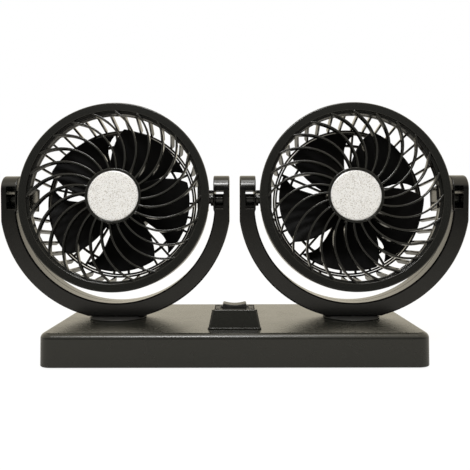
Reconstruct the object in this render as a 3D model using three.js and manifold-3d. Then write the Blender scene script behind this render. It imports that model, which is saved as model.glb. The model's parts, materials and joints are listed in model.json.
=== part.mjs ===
// Twin car fan: a low base with a rocker switch carries two U-shaped yokes that swivel, and a round
// fan head with a spiral grille tilts in each yoke. Millimetres, +Z up, the front looks along -Y.
import * as THREE from 'three';
import { mergeVertices } from 'three/addons/utils/BufferGeometryUtils.js';
import Module from 'manifold-3d';

const wasm = await Module();
wasm.setup();

// Clearances
const SEAT_GAP = 0.3;
const PIN_PLAY = 0.35;
const OVERRUN = 1;

// Base
const BASE_OVERHANG = 31.5;
const BASE_DEPTH = 100;
const BASE_HEIGHT = 17;
const BASE_CORNER = 7;
const BASE_EDGE = 2;
const BASE_WALL = 2.2;
const BASE_DRAFT = 0.9;
const PLATE_THICKNESS = 2.5;
const FOOT_RADIUS = 7;
const FOOT_THICKNESS = 1.1;
const FOOT_STAND = 0.8;
const FOOT_INSET = 14;
const BOSS_RADIUS = 4;
const BOSS_INSET = 28;
const GLAND_RADIUS = 4.8;
const GLAND_BORE = 2;
const GLAND_NECK = 3;
const GLAND_FLANGE = 1;

// Switch
const HOUSING_WIDTH = 27.4;
const HOUSING_DEPTH = 22.5;
const HOUSING_HEIGHT = 9.5;
const HOUSING_SLOPE = 2;
const HOUSING_WALL = 1.6;
const HOUSING_CORNER = 1.5;
const HOUSING_SETBACK = 12.1;
const HOUSING_LIP = 0.6;
const HOUSING_RIM = 1.2;
const BEZEL_THICKNESS = 1.2;
const SWITCH_OPENING_WIDTH = 15;
const SWITCH_OPENING_DEPTH = 10;
const SWITCH_WALL = 1.2;
const SWITCH_BODY_DEPTH = 8;
const TERMINAL_WIDTH = 0.8;
const TERMINAL_DEPTH = 4.8;
const TERMINAL_LENGTH = 7;
const TERMINAL_PITCH = 4.7;
const ROCKER_WIDTH = 12.6;
const ROCKER_DEPTH = 9.2;
const ROCKER_PROUD = 2.7;
const ROCKER_DIP = 0.9;
const ROCKER_AXLE_DROP = 2;
const ROCKER_AXLE_RADIUS = 1;

// Swivel foot of each yoke
const SWIVEL_RADIUS = 16.2;
const SWIVEL_CHAMFER = 1.5;
const SWIVEL_HEIGHT = 1.2;
const POST_RADIUS = 8;
const POST_BORE = 4.5;
const BEARING_DEPTH = 3.8;
const RETAINER_RADIUS = 12;
const RETAINER_THICKNESS = 1.6;

// Yoke
const YOKE_BAND = 8.4;
const YOKE_DEPTH = 17;
const YOKE_NECK = 15.8;
const YOKE_NECK_HEIGHT = 0.9;
const PIVOT_GAP = 2;
const PAD_RISE = 0.7;
const PAD_BELOW_PIVOT = 6.1;
const ARM_ABOVE_PIVOT = 13.1;
const PIVOT_ABOVE_CENTRE = 2.75;
const YOKES_APART = 5.8;
const WINDOW_WALL = 0.9;
const WINDOW_WIDTH = 4.9;
const WINDOW_ABOVE = 7.4;
const WINDOW_BELOW = 5.3;
const REAR_WINDOW_ABOVE = 5;
const YOKE_SCREW_ANGLE = 45;

// Tilt pins
const PIN_RADIUS = 2.6;
const PIN_HEAD_RADIUS = 3.15;
const PIN_FLANGE_RADIUS = 3.8;
const PIN_FLAT_HEIGHT = 2.3;
const PIN_GRIP = 5;
const TAB_LOW = 3.1;
const TAB_HEIGHT = 1.9;
const TAB_DEPTH = 5;

// Fan head, measured from its tilt axis; the head looks along -Y before it is tilted back
const HEAD_TILT = 8;
const RING_RADIUS = 53.5;
const RING_WALL = 2;
const RING_FRONT = 12.9;
const RING_REAR = 4.5;
const RING_FACE = 6.1;
const RING_TAPER = 1;
const RING_FACE_THICKNESS = 2.5;
const RING_EDGE = 1.2;
const SKIRT_THICKNESS = 1.3;
const RIB_SETBACK = 0.2;
const PIVOT_BOSS_WIDTH = 13;
const PIVOT_BOSS_DEPTH = 7;

// Front grille
const RIB_COUNT = 24;
const RIB_WIDTH = 1.1;
const RIB_DEPTH = 4.2;
const RIB_ARC_PAST_RING = 3.4;
const RIB_ARC_OFFSET = 2.5;
const RIB_FOOT_ANGLE = 9.5;
const HUB_RADIUS = 15.6;
const HUB_LIP = 1.2;
const HUB_PROUD = 1.4;
const HUB_DEPTH = 6;
const DISC_THICKNESS = 0.8;
const DISC_SINK = 0.3;

// Rear guard
const BAR_COUNT = 40;
const BAR_WIDTH = 1.3;
const BAR_THICKNESS = 3;
const FLANGE_LIP = 2.3;
const GUARD_REAR = 16.4;
const GUARD_REAR_THICKNESS = 2.2;
const CORNER_RING_INSET = 4.4;
const CORNER_RING_WIDTH = 2.4;
const MIDDLE_RING_INSET = 8.6;
const MIDDLE_RING_WIDTH = 1.5;
const SPOKE_COUNT = 30;
const SPOKE_WIDTH = 1.3;
const MOUNT_RADIUS = 17.5;

// Impeller
const BLADE_COUNT = 5;
const BLADE_TIP_GAP = 10.1;
const BLADE_MIDDLE = 5.3;
const BLADE_HEIGHT = 14.8;
const BLADE_THICKNESS = 1.4;
const BLADE_LEAN = 13;
const BLADE_ROOT_SPAN = 71;
const BLADE_TIP_SPAN = 55;
const BLADE_CORNER_SHARE = 0.6;
const BLADE_LEADING_CUT = 3.2;
const BLADE_TRAILING_HOOK = 14.9;
const BLADE_CAMBER = 1.2;
const IMPELLER_HUB_RADIUS = 14;
const IMPELLER_HUB_LENGTH = 14.6;
const IMPELLER_WALL = 1.6;
const LEFT_FAN_PHASE = 30.2;
const RIGHT_FAN_PHASE = 17.4;

// Motor
const MOTOR_RADIUS = 12.2;
const MOTOR_LENGTH = 25;
const MOTOR_BOSS_RADIUS = 4.5;
const MOTOR_CAP_THICKNESS = 2.4;
const SHAFT_RADIUS = 1;
const SHAFT_ENGAGEMENT = 10;
const COVER_WALL = 1.6;
const COVER_EDGE = 3;
const COVER_FLANGE = 1.6;
const VENT_COUNT = 6;
const VENT_WIDTH = 2;
const VENT_LENGTH = 6;

// Screws
const SCREW_RADIUS = 1.1;
const SCREW_HEAD_RADIUS = 2.2;
const SCREW_HEAD_HEIGHT = 1.2;
const SCREW_BITE = 5;
const MOTOR_SCREW_CIRCLE = 8;
const SWIVEL_SCREW_CIRCLE = 6.2;

// Facets round each kind of turned piece
const RING_FACETS = 36;
const HUB_FACETS = 24;
const MOTOR_FACETS = 16;
const PIN_FACETS = 8;
const SCREW_FACETS = 6;
const ARC_FACETS = 9;
const CORNER_FACETS = 2;
const RIB_FACETS = 1.5;

// Heights
const BASE_TOP = FOOT_STAND + BASE_HEIGHT;
const SWIVEL_BOTTOM = BASE_TOP + SEAT_GAP;
const SWIVEL_TOP = SWIVEL_BOTTOM + SWIVEL_HEIGHT;
const YOKE_FLAT = SWIVEL_TOP + SEAT_GAP;
const YOKE_INNER = RING_RADIUS + PIVOT_GAP + PAD_RISE;
const YOKE_OUTER = YOKE_INNER + YOKE_BAND;
const YOKE_CENTRE = YOKE_FLAT + YOKE_NECK_HEIGHT + Math.sqrt(YOKE_OUTER ** 2 - YOKE_NECK ** 2);
const PIVOT_HEIGHT = YOKE_CENTRE + PIVOT_ABOVE_CENTRE;
const ARM_TOP = PIVOT_HEIGHT + ARM_ABOVE_PIVOT;
const PAD_FACE = RING_RADIUS + PIVOT_GAP;
const AXIS_X = YOKE_OUTER + YOKES_APART / 2;
const BASE_WIDTH = 2 * (AXIS_X + BASE_OVERHANG);
const HOUSING_TOP = BASE_TOP + SEAT_GAP + HOUSING_HEIGHT;
const HOUSING_Y = -BASE_DEPTH / 2 + HOUSING_SETBACK + HOUSING_DEPTH / 2;
const SWITCH_HALF_X = SWITCH_OPENING_WIDTH / 2 + SWITCH_WALL;
const SWITCH_HALF_Y = SWITCH_OPENING_DEPTH / 2 + SWITCH_WALL;

// Places along a fan head's axis
const RING_INNER = RING_RADIUS - RING_WALL;
const RING_OPENING = RING_RADIUS - RING_FACE;
const RIB_ARC_RADIUS = (RING_RADIUS + RIB_ARC_PAST_RING - RIB_ARC_OFFSET) / 2;
const RIB_ARC_CENTRE = RIB_ARC_RADIUS + RIB_ARC_OFFSET;
const RING_BACK = -RING_FRONT + RING_FACE_THICKNESS;
const SKIRT_REAR = -RING_FRONT + RIB_SETBACK + RIB_DEPTH + SEAT_GAP;
const LIP_FRONT = SKIRT_REAR + SEAT_GAP;
const LIP_REAR = LIP_FRONT + FLANGE_LIP;
const HUB_FRONT = -RING_FRONT - HUB_PROUD;
const BEHIND_FACE = RING_BACK + SEAT_GAP;
const FLANGE_RADIUS = RING_INNER - SEAT_GAP;
const FLANGE_INNER = RING_OPENING + SKIRT_THICKNESS + SEAT_GAP;
const CORNER_RING_RADIUS = FLANGE_INNER - CORNER_RING_INSET;
const CAGE_RIM_INNER = CORNER_RING_RADIUS - (CORNER_RING_WIDTH - SEAT_GAP) / 2;
const BACK_RADIUS = CAGE_RIM_INNER - SEAT_GAP;
const MIDDLE_RING_RADIUS = CORNER_RING_RADIUS - MIDDLE_RING_INSET;
const PLATE_FRONT = GUARD_REAR - GUARD_REAR_THICKNESS;
const MOTOR_FRONT = GUARD_REAR + SEAT_GAP;
const MOTOR_REAR = MOTOR_FRONT + MOTOR_LENGTH;
const CAP_REAR = MOTOR_REAR + SEAT_GAP + MOTOR_CAP_THICKNESS;
const COVER_REAR = CAP_REAR + SEAT_GAP + COVER_WALL;
const BLADE_TIP_RADIUS = RING_INNER - BLADE_TIP_GAP;
const IMPELLER_REAR = BLADE_MIDDLE + BLADE_HEIGHT / 2;
const IMPELLER_FRONT = IMPELLER_REAR - IMPELLER_HUB_LENGTH;
const SHAFT_BORE = SHAFT_RADIUS + SEAT_GAP;
const SCREW_HOLE = SCREW_RADIUS + SEAT_GAP;

// Finishes
const FINISHES = {
  housing: { color: 0x1f1f1e, roughness: 0.38, metalness: 0 },
  grille: { color: 0x1b1b1a, roughness: 0.42, metalness: 0 },
  blade: { color: 0x0c0c0d, roughness: 0.5, metalness: 0 },
  disc: { color: 0xc9c7c4, roughness: 0.35, metalness: 0.9 },
  rocker: { color: 0x2a2a2a, roughness: 0.3, metalness: 0 },
  rubber: { color: 0x141414, roughness: 0.85, metalness: 0 },
  steel: { color: 0x9a9a98, roughness: 0.35, metalness: 1 },
  brass: { color: 0xb98f45, roughness: 0.35, metalness: 1 },
};

// Turning shapes into solids and back

function solid(geometry) {
  const bare = geometry.clone();
  bare.deleteAttribute('normal');
  bare.deleteAttribute('uv');
  const merged = mergeVertices(bare);
  const places = merged.attributes.position.array;
  const corners = Uint32Array.from(merged.index.array);
  let volume = 0;
  const [a, b, c] = [new THREE.Vector3(), new THREE.Vector3(), new THREE.Vector3()];
  for (let i = 0; i < corners.length; i += 3) {
    a.fromArray(places, 3 * corners[i]);
    b.fromArray(places, 3 * corners[i + 1]);
    c.fromArray(places, 3 * corners[i + 2]);
    volume += a.dot(b.cross(c));
  }
  if (volume < 0) corners.reverse();
  return new wasm.Manifold(new wasm.Mesh({
    numProp: 3,
    vertProperties: Float32Array.from(places),
    triVerts: corners,
  }));
}

function piece(name, body, finish) {
  const made = body.getMesh();
  const geometry = new THREE.BufferGeometry();
  geometry.setAttribute('position', new THREE.BufferAttribute(made.vertProperties, 3));
  geometry.setIndex(new THREE.BufferAttribute(made.triVerts, 1));
  geometry.computeVertexNormals();
  const mesh = new THREE.Mesh(geometry, new THREE.MeshStandardMaterial(FINISHES[finish]));
  mesh.name = name;
  return mesh;
}

function joined(solids) {
  return solids.reduce((sum, next) => sum.add(next));
}

function cutAway(body, tools) {
  return tools.reduce((rest, tool) => rest.subtract(tool), body);
}

// Basic forms: a box by its corners, turned forms about each axis, and extruded outlines

function box(low, high) {
  const size = high.map((value, i) => value - low[i]);
  const middle = high.map((value, i) => (value + low[i]) / 2);
  return solid(new THREE.BoxGeometry(...size).translate(...middle));
}

function turned(profile, facets) {
  const points = profile.map(([radius, along]) => new THREE.Vector2(radius, along));
  if (profile[0][0] > 0) points.push(points[0].clone());
  return new THREE.LatheGeometry(points, facets);
}

function turnedAboutX(profile, facets) {
  return turned(profile, facets).rotateZ(-Math.PI / 2);
}

function turnedAboutZ(profile, facets) {
  return turned(profile, facets).rotateX(Math.PI / 2);
}

function rod(radius, low, high) {
  return [[0, low], [radius, low], [radius, high], [0, high]];
}

function tube(inner, outer, low, high) {
  return [[inner, low], [outer, low], [outer, high], [inner, high]];
}

// A screw's profile from the underside of its head at zero, with its point along the positive axis
function screwProfile(length) {
  return [
    [0, -SCREW_HEAD_HEIGHT],
    [SCREW_HEAD_RADIUS, -SCREW_HEAD_HEIGHT],
    [SCREW_HEAD_RADIUS, 0],
    [SCREW_RADIUS, 0],
    [SCREW_RADIUS, length],
    [0, length],
  ];
}

function roundedRectangle(width, depth, corner) {
  const shape = new THREE.Shape();
  const [x, y] = [width / 2 - corner, depth / 2 - corner];
  shape.absarc(x, y, corner, 0, Math.PI / 2);
  shape.absarc(-x, y, corner, Math.PI / 2, Math.PI);
  shape.absarc(-x, -y, corner, Math.PI, 1.5 * Math.PI);
  shape.absarc(x, -y, corner, 1.5 * Math.PI, 2 * Math.PI);
  return shape;
}

function extruded(shape, depth, curveSegments) {
  return new THREE.ExtrudeGeometry(shape, { depth, curveSegments, bevelEnabled: false });
}

// Draws the sides of an upright form inwards, evenly from its foot at zero to its full height
function drawnIn(geometry, width, depth, height, draft) {
  const places = geometry.attributes.position;
  for (let i = 0; i < places.count; i += 1) {
    const share = places.getZ(i) / height;
    places.setX(i, places.getX(i) * (1 - (share * 2 * draft) / width));
    places.setY(i, places.getY(i) * (1 - (share * 2 * draft) / depth));
  }
  return geometry;
}

// A slab with rounded corners, a rounded upper edge and drawn-in sides, standing on zero
function mouldedSlab(width, depth, height, corner, edge, draft) {
  const outline = roundedRectangle(width - 2 * edge, depth - 2 * edge, corner - edge);
  const slab = new THREE.ExtrudeGeometry(outline, {
    depth: height - edge,
    bevelThickness: edge,
    bevelSize: edge,
    bevelSegments: CORNER_FACETS,
    curveSegments: CORNER_FACETS,
  });
  const below = box([-width, -depth, -height], [width, depth, 0]);
  return solid(drawnIn(slab, width, depth, height, draft)).subtract(below);
}

function around(count, startDegrees) {
  return Array.from({ length: count }, (_, i) => startDegrees + (360 * i) / count);
}

function radians(degrees) {
  return THREE.MathUtils.degToRad(degrees);
}

// The base: a shell open below, its plate, feet, screws and the cable's gland

const FOOT_PLACES = [
  ['front_left', -1, -1],
  ['front_right', 1, -1],
  ['rear_left', -1, 1],
  ['rear_right', 1, 1],
];
const FOOT_X = BASE_WIDTH / 2 - FOOT_INSET;
const FOOT_Y = BASE_DEPTH / 2 - FOOT_INSET;
const BOSS_X = BASE_WIDTH / 2 - BASE_WALL - BOSS_RADIUS - BASE_DRAFT;
const BOSS_Y = BASE_DEPTH / 2 - BOSS_INSET;
const PLATE_TOP = FOOT_STAND + PLATE_THICKNESS;
const GLAND_HEIGHT = FOOT_STAND + BASE_HEIGHT / 2;
const REAR_FACE = BASE_DEPTH / 2 - BASE_DRAFT;

function baseCover() {
  const shell = mouldedSlab(BASE_WIDTH, BASE_DEPTH, BASE_HEIGHT, BASE_CORNER, BASE_EDGE, BASE_DRAFT);
  const [width, depth] = [BASE_WIDTH - 2 * BASE_WALL, BASE_DEPTH - 2 * BASE_WALL];
  const hollow = extruded(
    roundedRectangle(width, depth, BASE_CORNER - BASE_WALL),
    BASE_HEIGHT - BASE_WALL + OVERRUN,
    1,
  ).translate(0, 0, -OVERRUN);
  const inside = solid(drawnIn(hollow, width, depth, BASE_HEIGHT, BASE_DRAFT));
  let body = shell.subtract(inside).translate([0, 0, FOOT_STAND]);
  const ceiling = BASE_TOP - BASE_WALL / 2;
  const bearings = [-AXIS_X, AXIS_X].map((x) => solid(
    turnedAboutZ(rod(RETAINER_RADIUS, BASE_TOP - BEARING_DEPTH, ceiling), MOTOR_FACETS),
  ).translate([x, 0, 0]));
  const bosses = FOOT_PLACES.map(([, sx, sy]) => solid(
    turnedAboutZ(rod(BOSS_RADIUS, PLATE_TOP + SEAT_GAP, ceiling), PIN_FACETS),
  ).translate([sx * BOSS_X, sy * BOSS_Y, 0]));
  body = joined([body, ...bearings, ...bosses]);
  const bearingHole = turnedAboutZ(
    rod(POST_RADIUS + PIN_PLAY, BASE_TOP - BEARING_DEPTH - OVERRUN, BASE_TOP + OVERRUN),
    MOTOR_FACETS,
  );
  const holes = [-AXIS_X, AXIS_X].map((x) => solid(bearingHole).translate([x, 0, 0]));
  const pilots = FOOT_PLACES.map(([, sx, sy]) => solid(
    turnedAboutZ(rod(SCREW_HOLE, FOOT_STAND, PLATE_TOP + SCREW_BITE + SEAT_GAP), SCREW_FACETS),
  ).translate([sx * BOSS_X, sy * BOSS_Y, 0]));
  const [holeX, holeY] = [SWITCH_HALF_X + SEAT_GAP, SWITCH_HALF_Y + SEAT_GAP];
  const switchHole = box(
    [-holeX, HOUSING_Y - holeY, BASE_TOP - BASE_WALL - OVERRUN],
    [holeX, HOUSING_Y + holeY, BASE_TOP + OVERRUN],
  );
  const glandHole = solid(turned([
    [0, REAR_FACE - BASE_WALL - OVERRUN],
    [GLAND_NECK + SEAT_GAP, REAR_FACE - BASE_WALL - OVERRUN],
    [GLAND_NECK + SEAT_GAP, REAR_FACE - GLAND_FLANGE],
    [GLAND_RADIUS + SEAT_GAP, REAR_FACE - GLAND_FLANGE],
    [GLAND_RADIUS + SEAT_GAP, REAR_FACE + BASE_DRAFT + OVERRUN],
    [0, REAR_FACE + BASE_DRAFT + OVERRUN],
  ], PIN_FACETS)).translate([0, 0, GLAND_HEIGHT]);
  return cutAway(body, [...holes, ...pilots, switchHole, glandHole]);
}

function basePlate() {
  const inset = 2 * (BASE_WALL + SEAT_GAP + BASE_DRAFT * (PLATE_THICKNESS / BASE_HEIGHT));
  const body = solid(extruded(
    roundedRectangle(BASE_WIDTH - inset, BASE_DEPTH - inset, BASE_CORNER - BASE_WALL),
    PLATE_THICKNESS,
    1,
  )).translate([0, 0, FOOT_STAND]);
  const cuts = FOOT_PLACES.flatMap(([, sx, sy]) => [
    solid(turnedAboutZ(
      rod(FOOT_RADIUS + SEAT_GAP, FOOT_STAND - OVERRUN, FOOT_THICKNESS + SEAT_GAP),
      MOTOR_FACETS,
    )).translate([sx * FOOT_X, sy * FOOT_Y, 0]),
    solid(turnedAboutZ([
      [0, FOOT_STAND - OVERRUN],
      [SCREW_HEAD_RADIUS + SEAT_GAP, FOOT_STAND - OVERRUN],
      [SCREW_HEAD_RADIUS + SEAT_GAP, FOOT_STAND + SCREW_HEAD_HEIGHT + SEAT_GAP],
      [SCREW_HOLE, FOOT_STAND + SCREW_HEAD_HEIGHT + SEAT_GAP],
      [SCREW_HOLE, PLATE_TOP + OVERRUN],
      [0, PLATE_TOP + OVERRUN],
    ], SCREW_FACETS)).translate([sx * BOSS_X, sy * BOSS_Y, 0]),
  ]);
  return cutAway(body, cuts);
}

function cableGland() {
  return solid(turned([
    [GLAND_BORE, REAR_FACE - BASE_WALL],
    [GLAND_NECK, REAR_FACE - BASE_WALL],
    [GLAND_NECK, REAR_FACE - GLAND_FLANGE + SEAT_GAP],
    [GLAND_RADIUS, REAR_FACE - GLAND_FLANGE + SEAT_GAP],
    [GLAND_RADIUS, REAR_FACE + SEAT_GAP],
    [GLAND_BORE, REAR_FACE + SEAT_GAP],
  ], PIN_FACETS)).translate([0, 0, GLAND_HEIGHT]);
}

// The switch: a tapered housing on the base, the switch with its bezel, its blades and the rocker

const RECESS_X = HOUSING_WIDTH / 2 - HOUSING_SLOPE - HOUSING_RIM;
const RECESS_Y = HOUSING_DEPTH / 2 - HOUSING_SLOPE - HOUSING_RIM;
const SWITCH_FLOOR = HOUSING_TOP - SWITCH_BODY_DEPTH;
const ROCKER_AXLE_Z = HOUSING_TOP - ROCKER_AXLE_DROP;

function taperedBlock(width, depth, height, slope, corner) {
  const block = extruded(roundedRectangle(width, depth, corner), height, 1);
  return solid(drawnIn(block, width, depth, height, slope));
}

function switchHousing() {
  const foot = BASE_TOP + SEAT_GAP;
  const outside = taperedBlock(
    HOUSING_WIDTH,
    HOUSING_DEPTH,
    HOUSING_HEIGHT,
    HOUSING_SLOPE,
    HOUSING_CORNER,
  );
  const lip = solid(extruded(
    roundedRectangle(HOUSING_WIDTH + HOUSING_LIP, HOUSING_DEPTH + HOUSING_LIP, HOUSING_CORNER),
    HOUSING_LIP,
    1,
  ));
  const inside = taperedBlock(
    HOUSING_WIDTH - 2 * HOUSING_WALL,
    HOUSING_DEPTH - 2 * HOUSING_WALL,
    HOUSING_HEIGHT - BEZEL_THICKNESS - SEAT_GAP - HOUSING_WALL,
    HOUSING_SLOPE,
    HOUSING_CORNER / 2,
  );
  const through = box(
    [-SWITCH_HALF_X - SEAT_GAP, -SWITCH_HALF_Y - SEAT_GAP, -OVERRUN],
    [SWITCH_HALF_X + SEAT_GAP, SWITCH_HALF_Y + SEAT_GAP, HOUSING_HEIGHT + OVERRUN],
  );
  const recess = box(
    [-RECESS_X, -RECESS_Y, HOUSING_HEIGHT - BEZEL_THICKNESS - SEAT_GAP],
    [RECESS_X, RECESS_Y, HOUSING_HEIGHT + OVERRUN],
  );
  return cutAway(outside.add(lip), [inside, through, recess]).translate([0, HOUSING_Y, foot]);
}

function switchBody() {
  const bezel = box(
    [-RECESS_X + SEAT_GAP, -RECESS_Y + SEAT_GAP, HOUSING_TOP - BEZEL_THICKNESS],
    [RECESS_X - SEAT_GAP, RECESS_Y - SEAT_GAP, HOUSING_TOP],
  );
  const shell = box(
    [-SWITCH_HALF_X, -SWITCH_HALF_Y, SWITCH_FLOOR],
    [SWITCH_HALF_X, SWITCH_HALF_Y, HOUSING_TOP],
  );
  const well = box(
    [-SWITCH_OPENING_WIDTH / 2, -SWITCH_OPENING_DEPTH / 2, SWITCH_FLOOR + SWITCH_WALL],
    [SWITCH_OPENING_WIDTH / 2, SWITCH_OPENING_DEPTH / 2, HOUSING_TOP + OVERRUN],
  );
  const axleHole = solid(turned(
    rod(ROCKER_AXLE_RADIUS + SEAT_GAP, -SWITCH_HALF_Y - OVERRUN, SWITCH_HALF_Y + OVERRUN),
    SCREW_FACETS,
  )).translate([0, 0, ROCKER_AXLE_Z]);
  const [slotX, slotY] = [TERMINAL_WIDTH / 2 + SEAT_GAP, TERMINAL_DEPTH / 2 + SEAT_GAP];
  const slots = [-1, 1].map((step) => box(
    [step * TERMINAL_PITCH - slotX, -slotY, SWITCH_FLOOR - OVERRUN],
    [step * TERMINAL_PITCH + slotX, slotY, SWITCH_FLOOR + SWITCH_WALL + OVERRUN],
  ));
  return cutAway(bezel.add(shell), [well, axleHole, ...slots]).translate([0, HOUSING_Y, 0]);
}

function terminal(step) {
  const top = SWITCH_FLOOR + SWITCH_WALL;
  return box(
    [step * TERMINAL_PITCH - TERMINAL_WIDTH / 2, HOUSING_Y - TERMINAL_DEPTH / 2, top - TERMINAL_LENGTH],
    [step * TERMINAL_PITCH + TERMINAL_WIDTH / 2, HOUSING_Y + TERMINAL_DEPTH / 2, top],
  );
}

// The rocker is a saddle about its axle: its two ends stand proud and the middle of its top dips
function rocker() {
  const half = ROCKER_WIDTH / 2;
  const top = ROCKER_PROUD + ROCKER_AXLE_DROP;
  const shape = new THREE.Shape();
  shape.moveTo(-half, 0);
  shape.quadraticCurveTo(0, -ROCKER_PROUD, half, 0);
  shape.lineTo(half, top - ROCKER_DIP);
  shape.lineTo(half - ROCKER_DIP / 2, top);
  shape.quadraticCurveTo(0, top - 2 * ROCKER_DIP, ROCKER_DIP / 2 - half, top);
  shape.lineTo(-half, top - ROCKER_DIP);
  const body = solid(extruded(shape, ROCKER_DEPTH, ARC_FACETS / 2).rotateX(Math.PI / 2))
    .translate([0, ROCKER_DEPTH / 2, 0]);
  const axle = solid(turned(
    rod(ROCKER_AXLE_RADIUS, -SWITCH_HALF_Y + SEAT_GAP, SWITCH_HALF_Y - SEAT_GAP),
    SCREW_FACETS,
  ));
  return body.add(axle);
}

// The yoke: an outline across the front, cut by a side outline with a full round at the arm's top

function yokeOutline() {
  const shape = new THREE.Shape();
  const neckAngle = Math.asin(YOKE_NECK / YOKE_OUTER);
  shape.moveTo(-YOKE_OUTER, ARM_TOP);
  shape.lineTo(-YOKE_OUTER, YOKE_CENTRE);
  shape.absarc(0, YOKE_CENTRE, YOKE_OUTER, Math.PI, 1.5 * Math.PI - neckAngle);
  shape.lineTo(-YOKE_NECK, YOKE_FLAT);
  shape.lineTo(YOKE_NECK, YOKE_FLAT);
  shape.absarc(0, YOKE_CENTRE, YOKE_OUTER, 1.5 * Math.PI + neckAngle, 2 * Math.PI);
  shape.lineTo(YOKE_OUTER, ARM_TOP);
  return shape;
}

// The opening is round below, and closer together at the two pads that hold the pivots
function yokeOpening() {
  const shape = new THREE.Shape();
  const padLow = PIVOT_HEIGHT - PAD_BELOW_PIVOT;
  const armAngle = Math.asin((YOKE_CENTRE - padLow + PAD_RISE) / YOKE_INNER);
  shape.moveTo(PAD_FACE, ARM_TOP + OVERRUN);
  shape.lineTo(PAD_FACE, padLow);
  shape.absarc(0, YOKE_CENTRE, YOKE_INNER, -armAngle, armAngle - Math.PI, true);
  shape.lineTo(-PAD_FACE, padLow);
  shape.lineTo(-PAD_FACE, ARM_TOP + OVERRUN);
  return shape;
}

function yokeSide() {
  const shape = new THREE.Shape();
  shape.moveTo(-YOKE_DEPTH / 2, BASE_TOP);
  shape.lineTo(YOKE_DEPTH / 2, BASE_TOP);
  shape.absarc(0, ARM_TOP - YOKE_DEPTH / 2, YOKE_DEPTH / 2, 0, Math.PI);
  const length = 2 * (YOKE_OUTER + OVERRUN);
  return solid(extruded(shape, length, ARC_FACETS / 2).rotateX(Math.PI / 2).rotateZ(Math.PI / 2))
    .translate([-length / 2, 0, 0]);
}

function yokeScrewPlaces() {
  const radius = YOKE_INNER + YOKE_BAND / 2;
  return [-1, 1].map((side) => {
    const angle = radians(270 + side * YOKE_SCREW_ANGLE);
    return [radius * Math.cos(angle), 0, YOKE_CENTRE + radius * Math.sin(angle)];
  });
}

function yokeHalf(isFront) {
  const thickness = YOKE_DEPTH / 2 - SEAT_GAP / 2;
  const near = isFront ? -YOKE_DEPTH / 2 : SEAT_GAP / 2;
  const opening = solid(extruded(yokeOpening(), 2 * YOKE_DEPTH, ARC_FACETS).rotateX(Math.PI / 2))
    .translate([0, YOKE_DEPTH, 0]);
  const blank = solid(extruded(yokeOutline(), thickness, ARC_FACETS / 2).rotateX(Math.PI / 2))
    .translate([0, near + thickness, 0])
    .intersect(yokeSide())
    .subtract(opening);
  const windowIn = PAD_FACE + WINDOW_WALL;
  const above = isFront ? WINDOW_ABOVE : REAR_WINDOW_ABOVE;
  const below = isFront ? WINDOW_BELOW : PIN_HEAD_RADIUS + PIN_PLAY;
  const windows = [windowIn, -windowIn - WINDOW_WIDTH].map((x) => box(
    [x, -YOKE_DEPTH, PIVOT_HEIGHT - below],
    [x + WINDOW_WIDTH, YOKE_DEPTH, PIVOT_HEIGHT + above],
  ));
  const pinHole = solid(turnedAboutX(
    rod(PIN_RADIUS + PIN_PLAY, -windowIn - OVERRUN, windowIn + OVERRUN),
    PIN_FACETS,
  )).translate([0, 0, PIVOT_HEIGHT]);
  const seat = YOKE_DEPTH / 2 - SCREW_BITE / 2;
  const screwHoles = yokeScrewPlaces().map((place) => solid(turned([
    [0, -SCREW_BITE - SEAT_GAP],
    [SCREW_HOLE, -SCREW_BITE - SEAT_GAP],
    [SCREW_HOLE, seat],
    [SCREW_HEAD_RADIUS + SEAT_GAP, seat],
    [SCREW_HEAD_RADIUS + SEAT_GAP, YOKE_DEPTH],
    [0, YOKE_DEPTH],
  ], SCREW_FACETS)).translate(place));
  const side = isFront ? -1 : 1;
  const footHole = solid(turnedAboutZ(
    rod(SCREW_HOLE, SWIVEL_TOP - OVERRUN, YOKE_FLAT + SCREW_BITE + SEAT_GAP),
    SCREW_FACETS,
  )).translate([0, side * SWIVEL_SCREW_CIRCLE, 0]);
  return cutAway(blank, [...windows, pinHole, ...screwHoles, footHole]);
}

// The swivel: a low disc under the yoke whose hollow post turns in the base, with a retainer below

const POST_BOTTOM = BASE_TOP - BEARING_DEPTH;
const RETAINER_TOP = POST_BOTTOM - SEAT_GAP;
const RETAINER_BOTTOM = RETAINER_TOP - RETAINER_THICKNESS;

function swivelScrewHoles() {
  return [-1, 1].map((side) => solid(turnedAboutZ(
    rod(SCREW_HOLE, RETAINER_BOTTOM - OVERRUN, SWIVEL_TOP + OVERRUN),
    SCREW_FACETS,
  )).translate([0, side * SWIVEL_SCREW_CIRCLE, 0]));
}

function swivelFoot() {
  const body = solid(turnedAboutZ([
    [POST_BORE, POST_BOTTOM],
    [POST_RADIUS, POST_BOTTOM],
    [POST_RADIUS, SWIVEL_BOTTOM],
    [SWIVEL_RADIUS, SWIVEL_BOTTOM],
    [SWIVEL_RADIUS, SWIVEL_BOTTOM + SEAT_GAP],
    [SWIVEL_RADIUS - SWIVEL_CHAMFER, SWIVEL_TOP],
    [POST_BORE, SWIVEL_TOP],
  ], MOTOR_FACETS));
  return cutAway(body, swivelScrewHoles());
}

function swivelRetainer() {
  const body = solid(turnedAboutZ(
    tube(POST_BORE, RETAINER_RADIUS, RETAINER_BOTTOM, RETAINER_TOP),
    MOTOR_FACETS,
  ));
  return cutAway(body, swivelScrewHoles());
}

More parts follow.
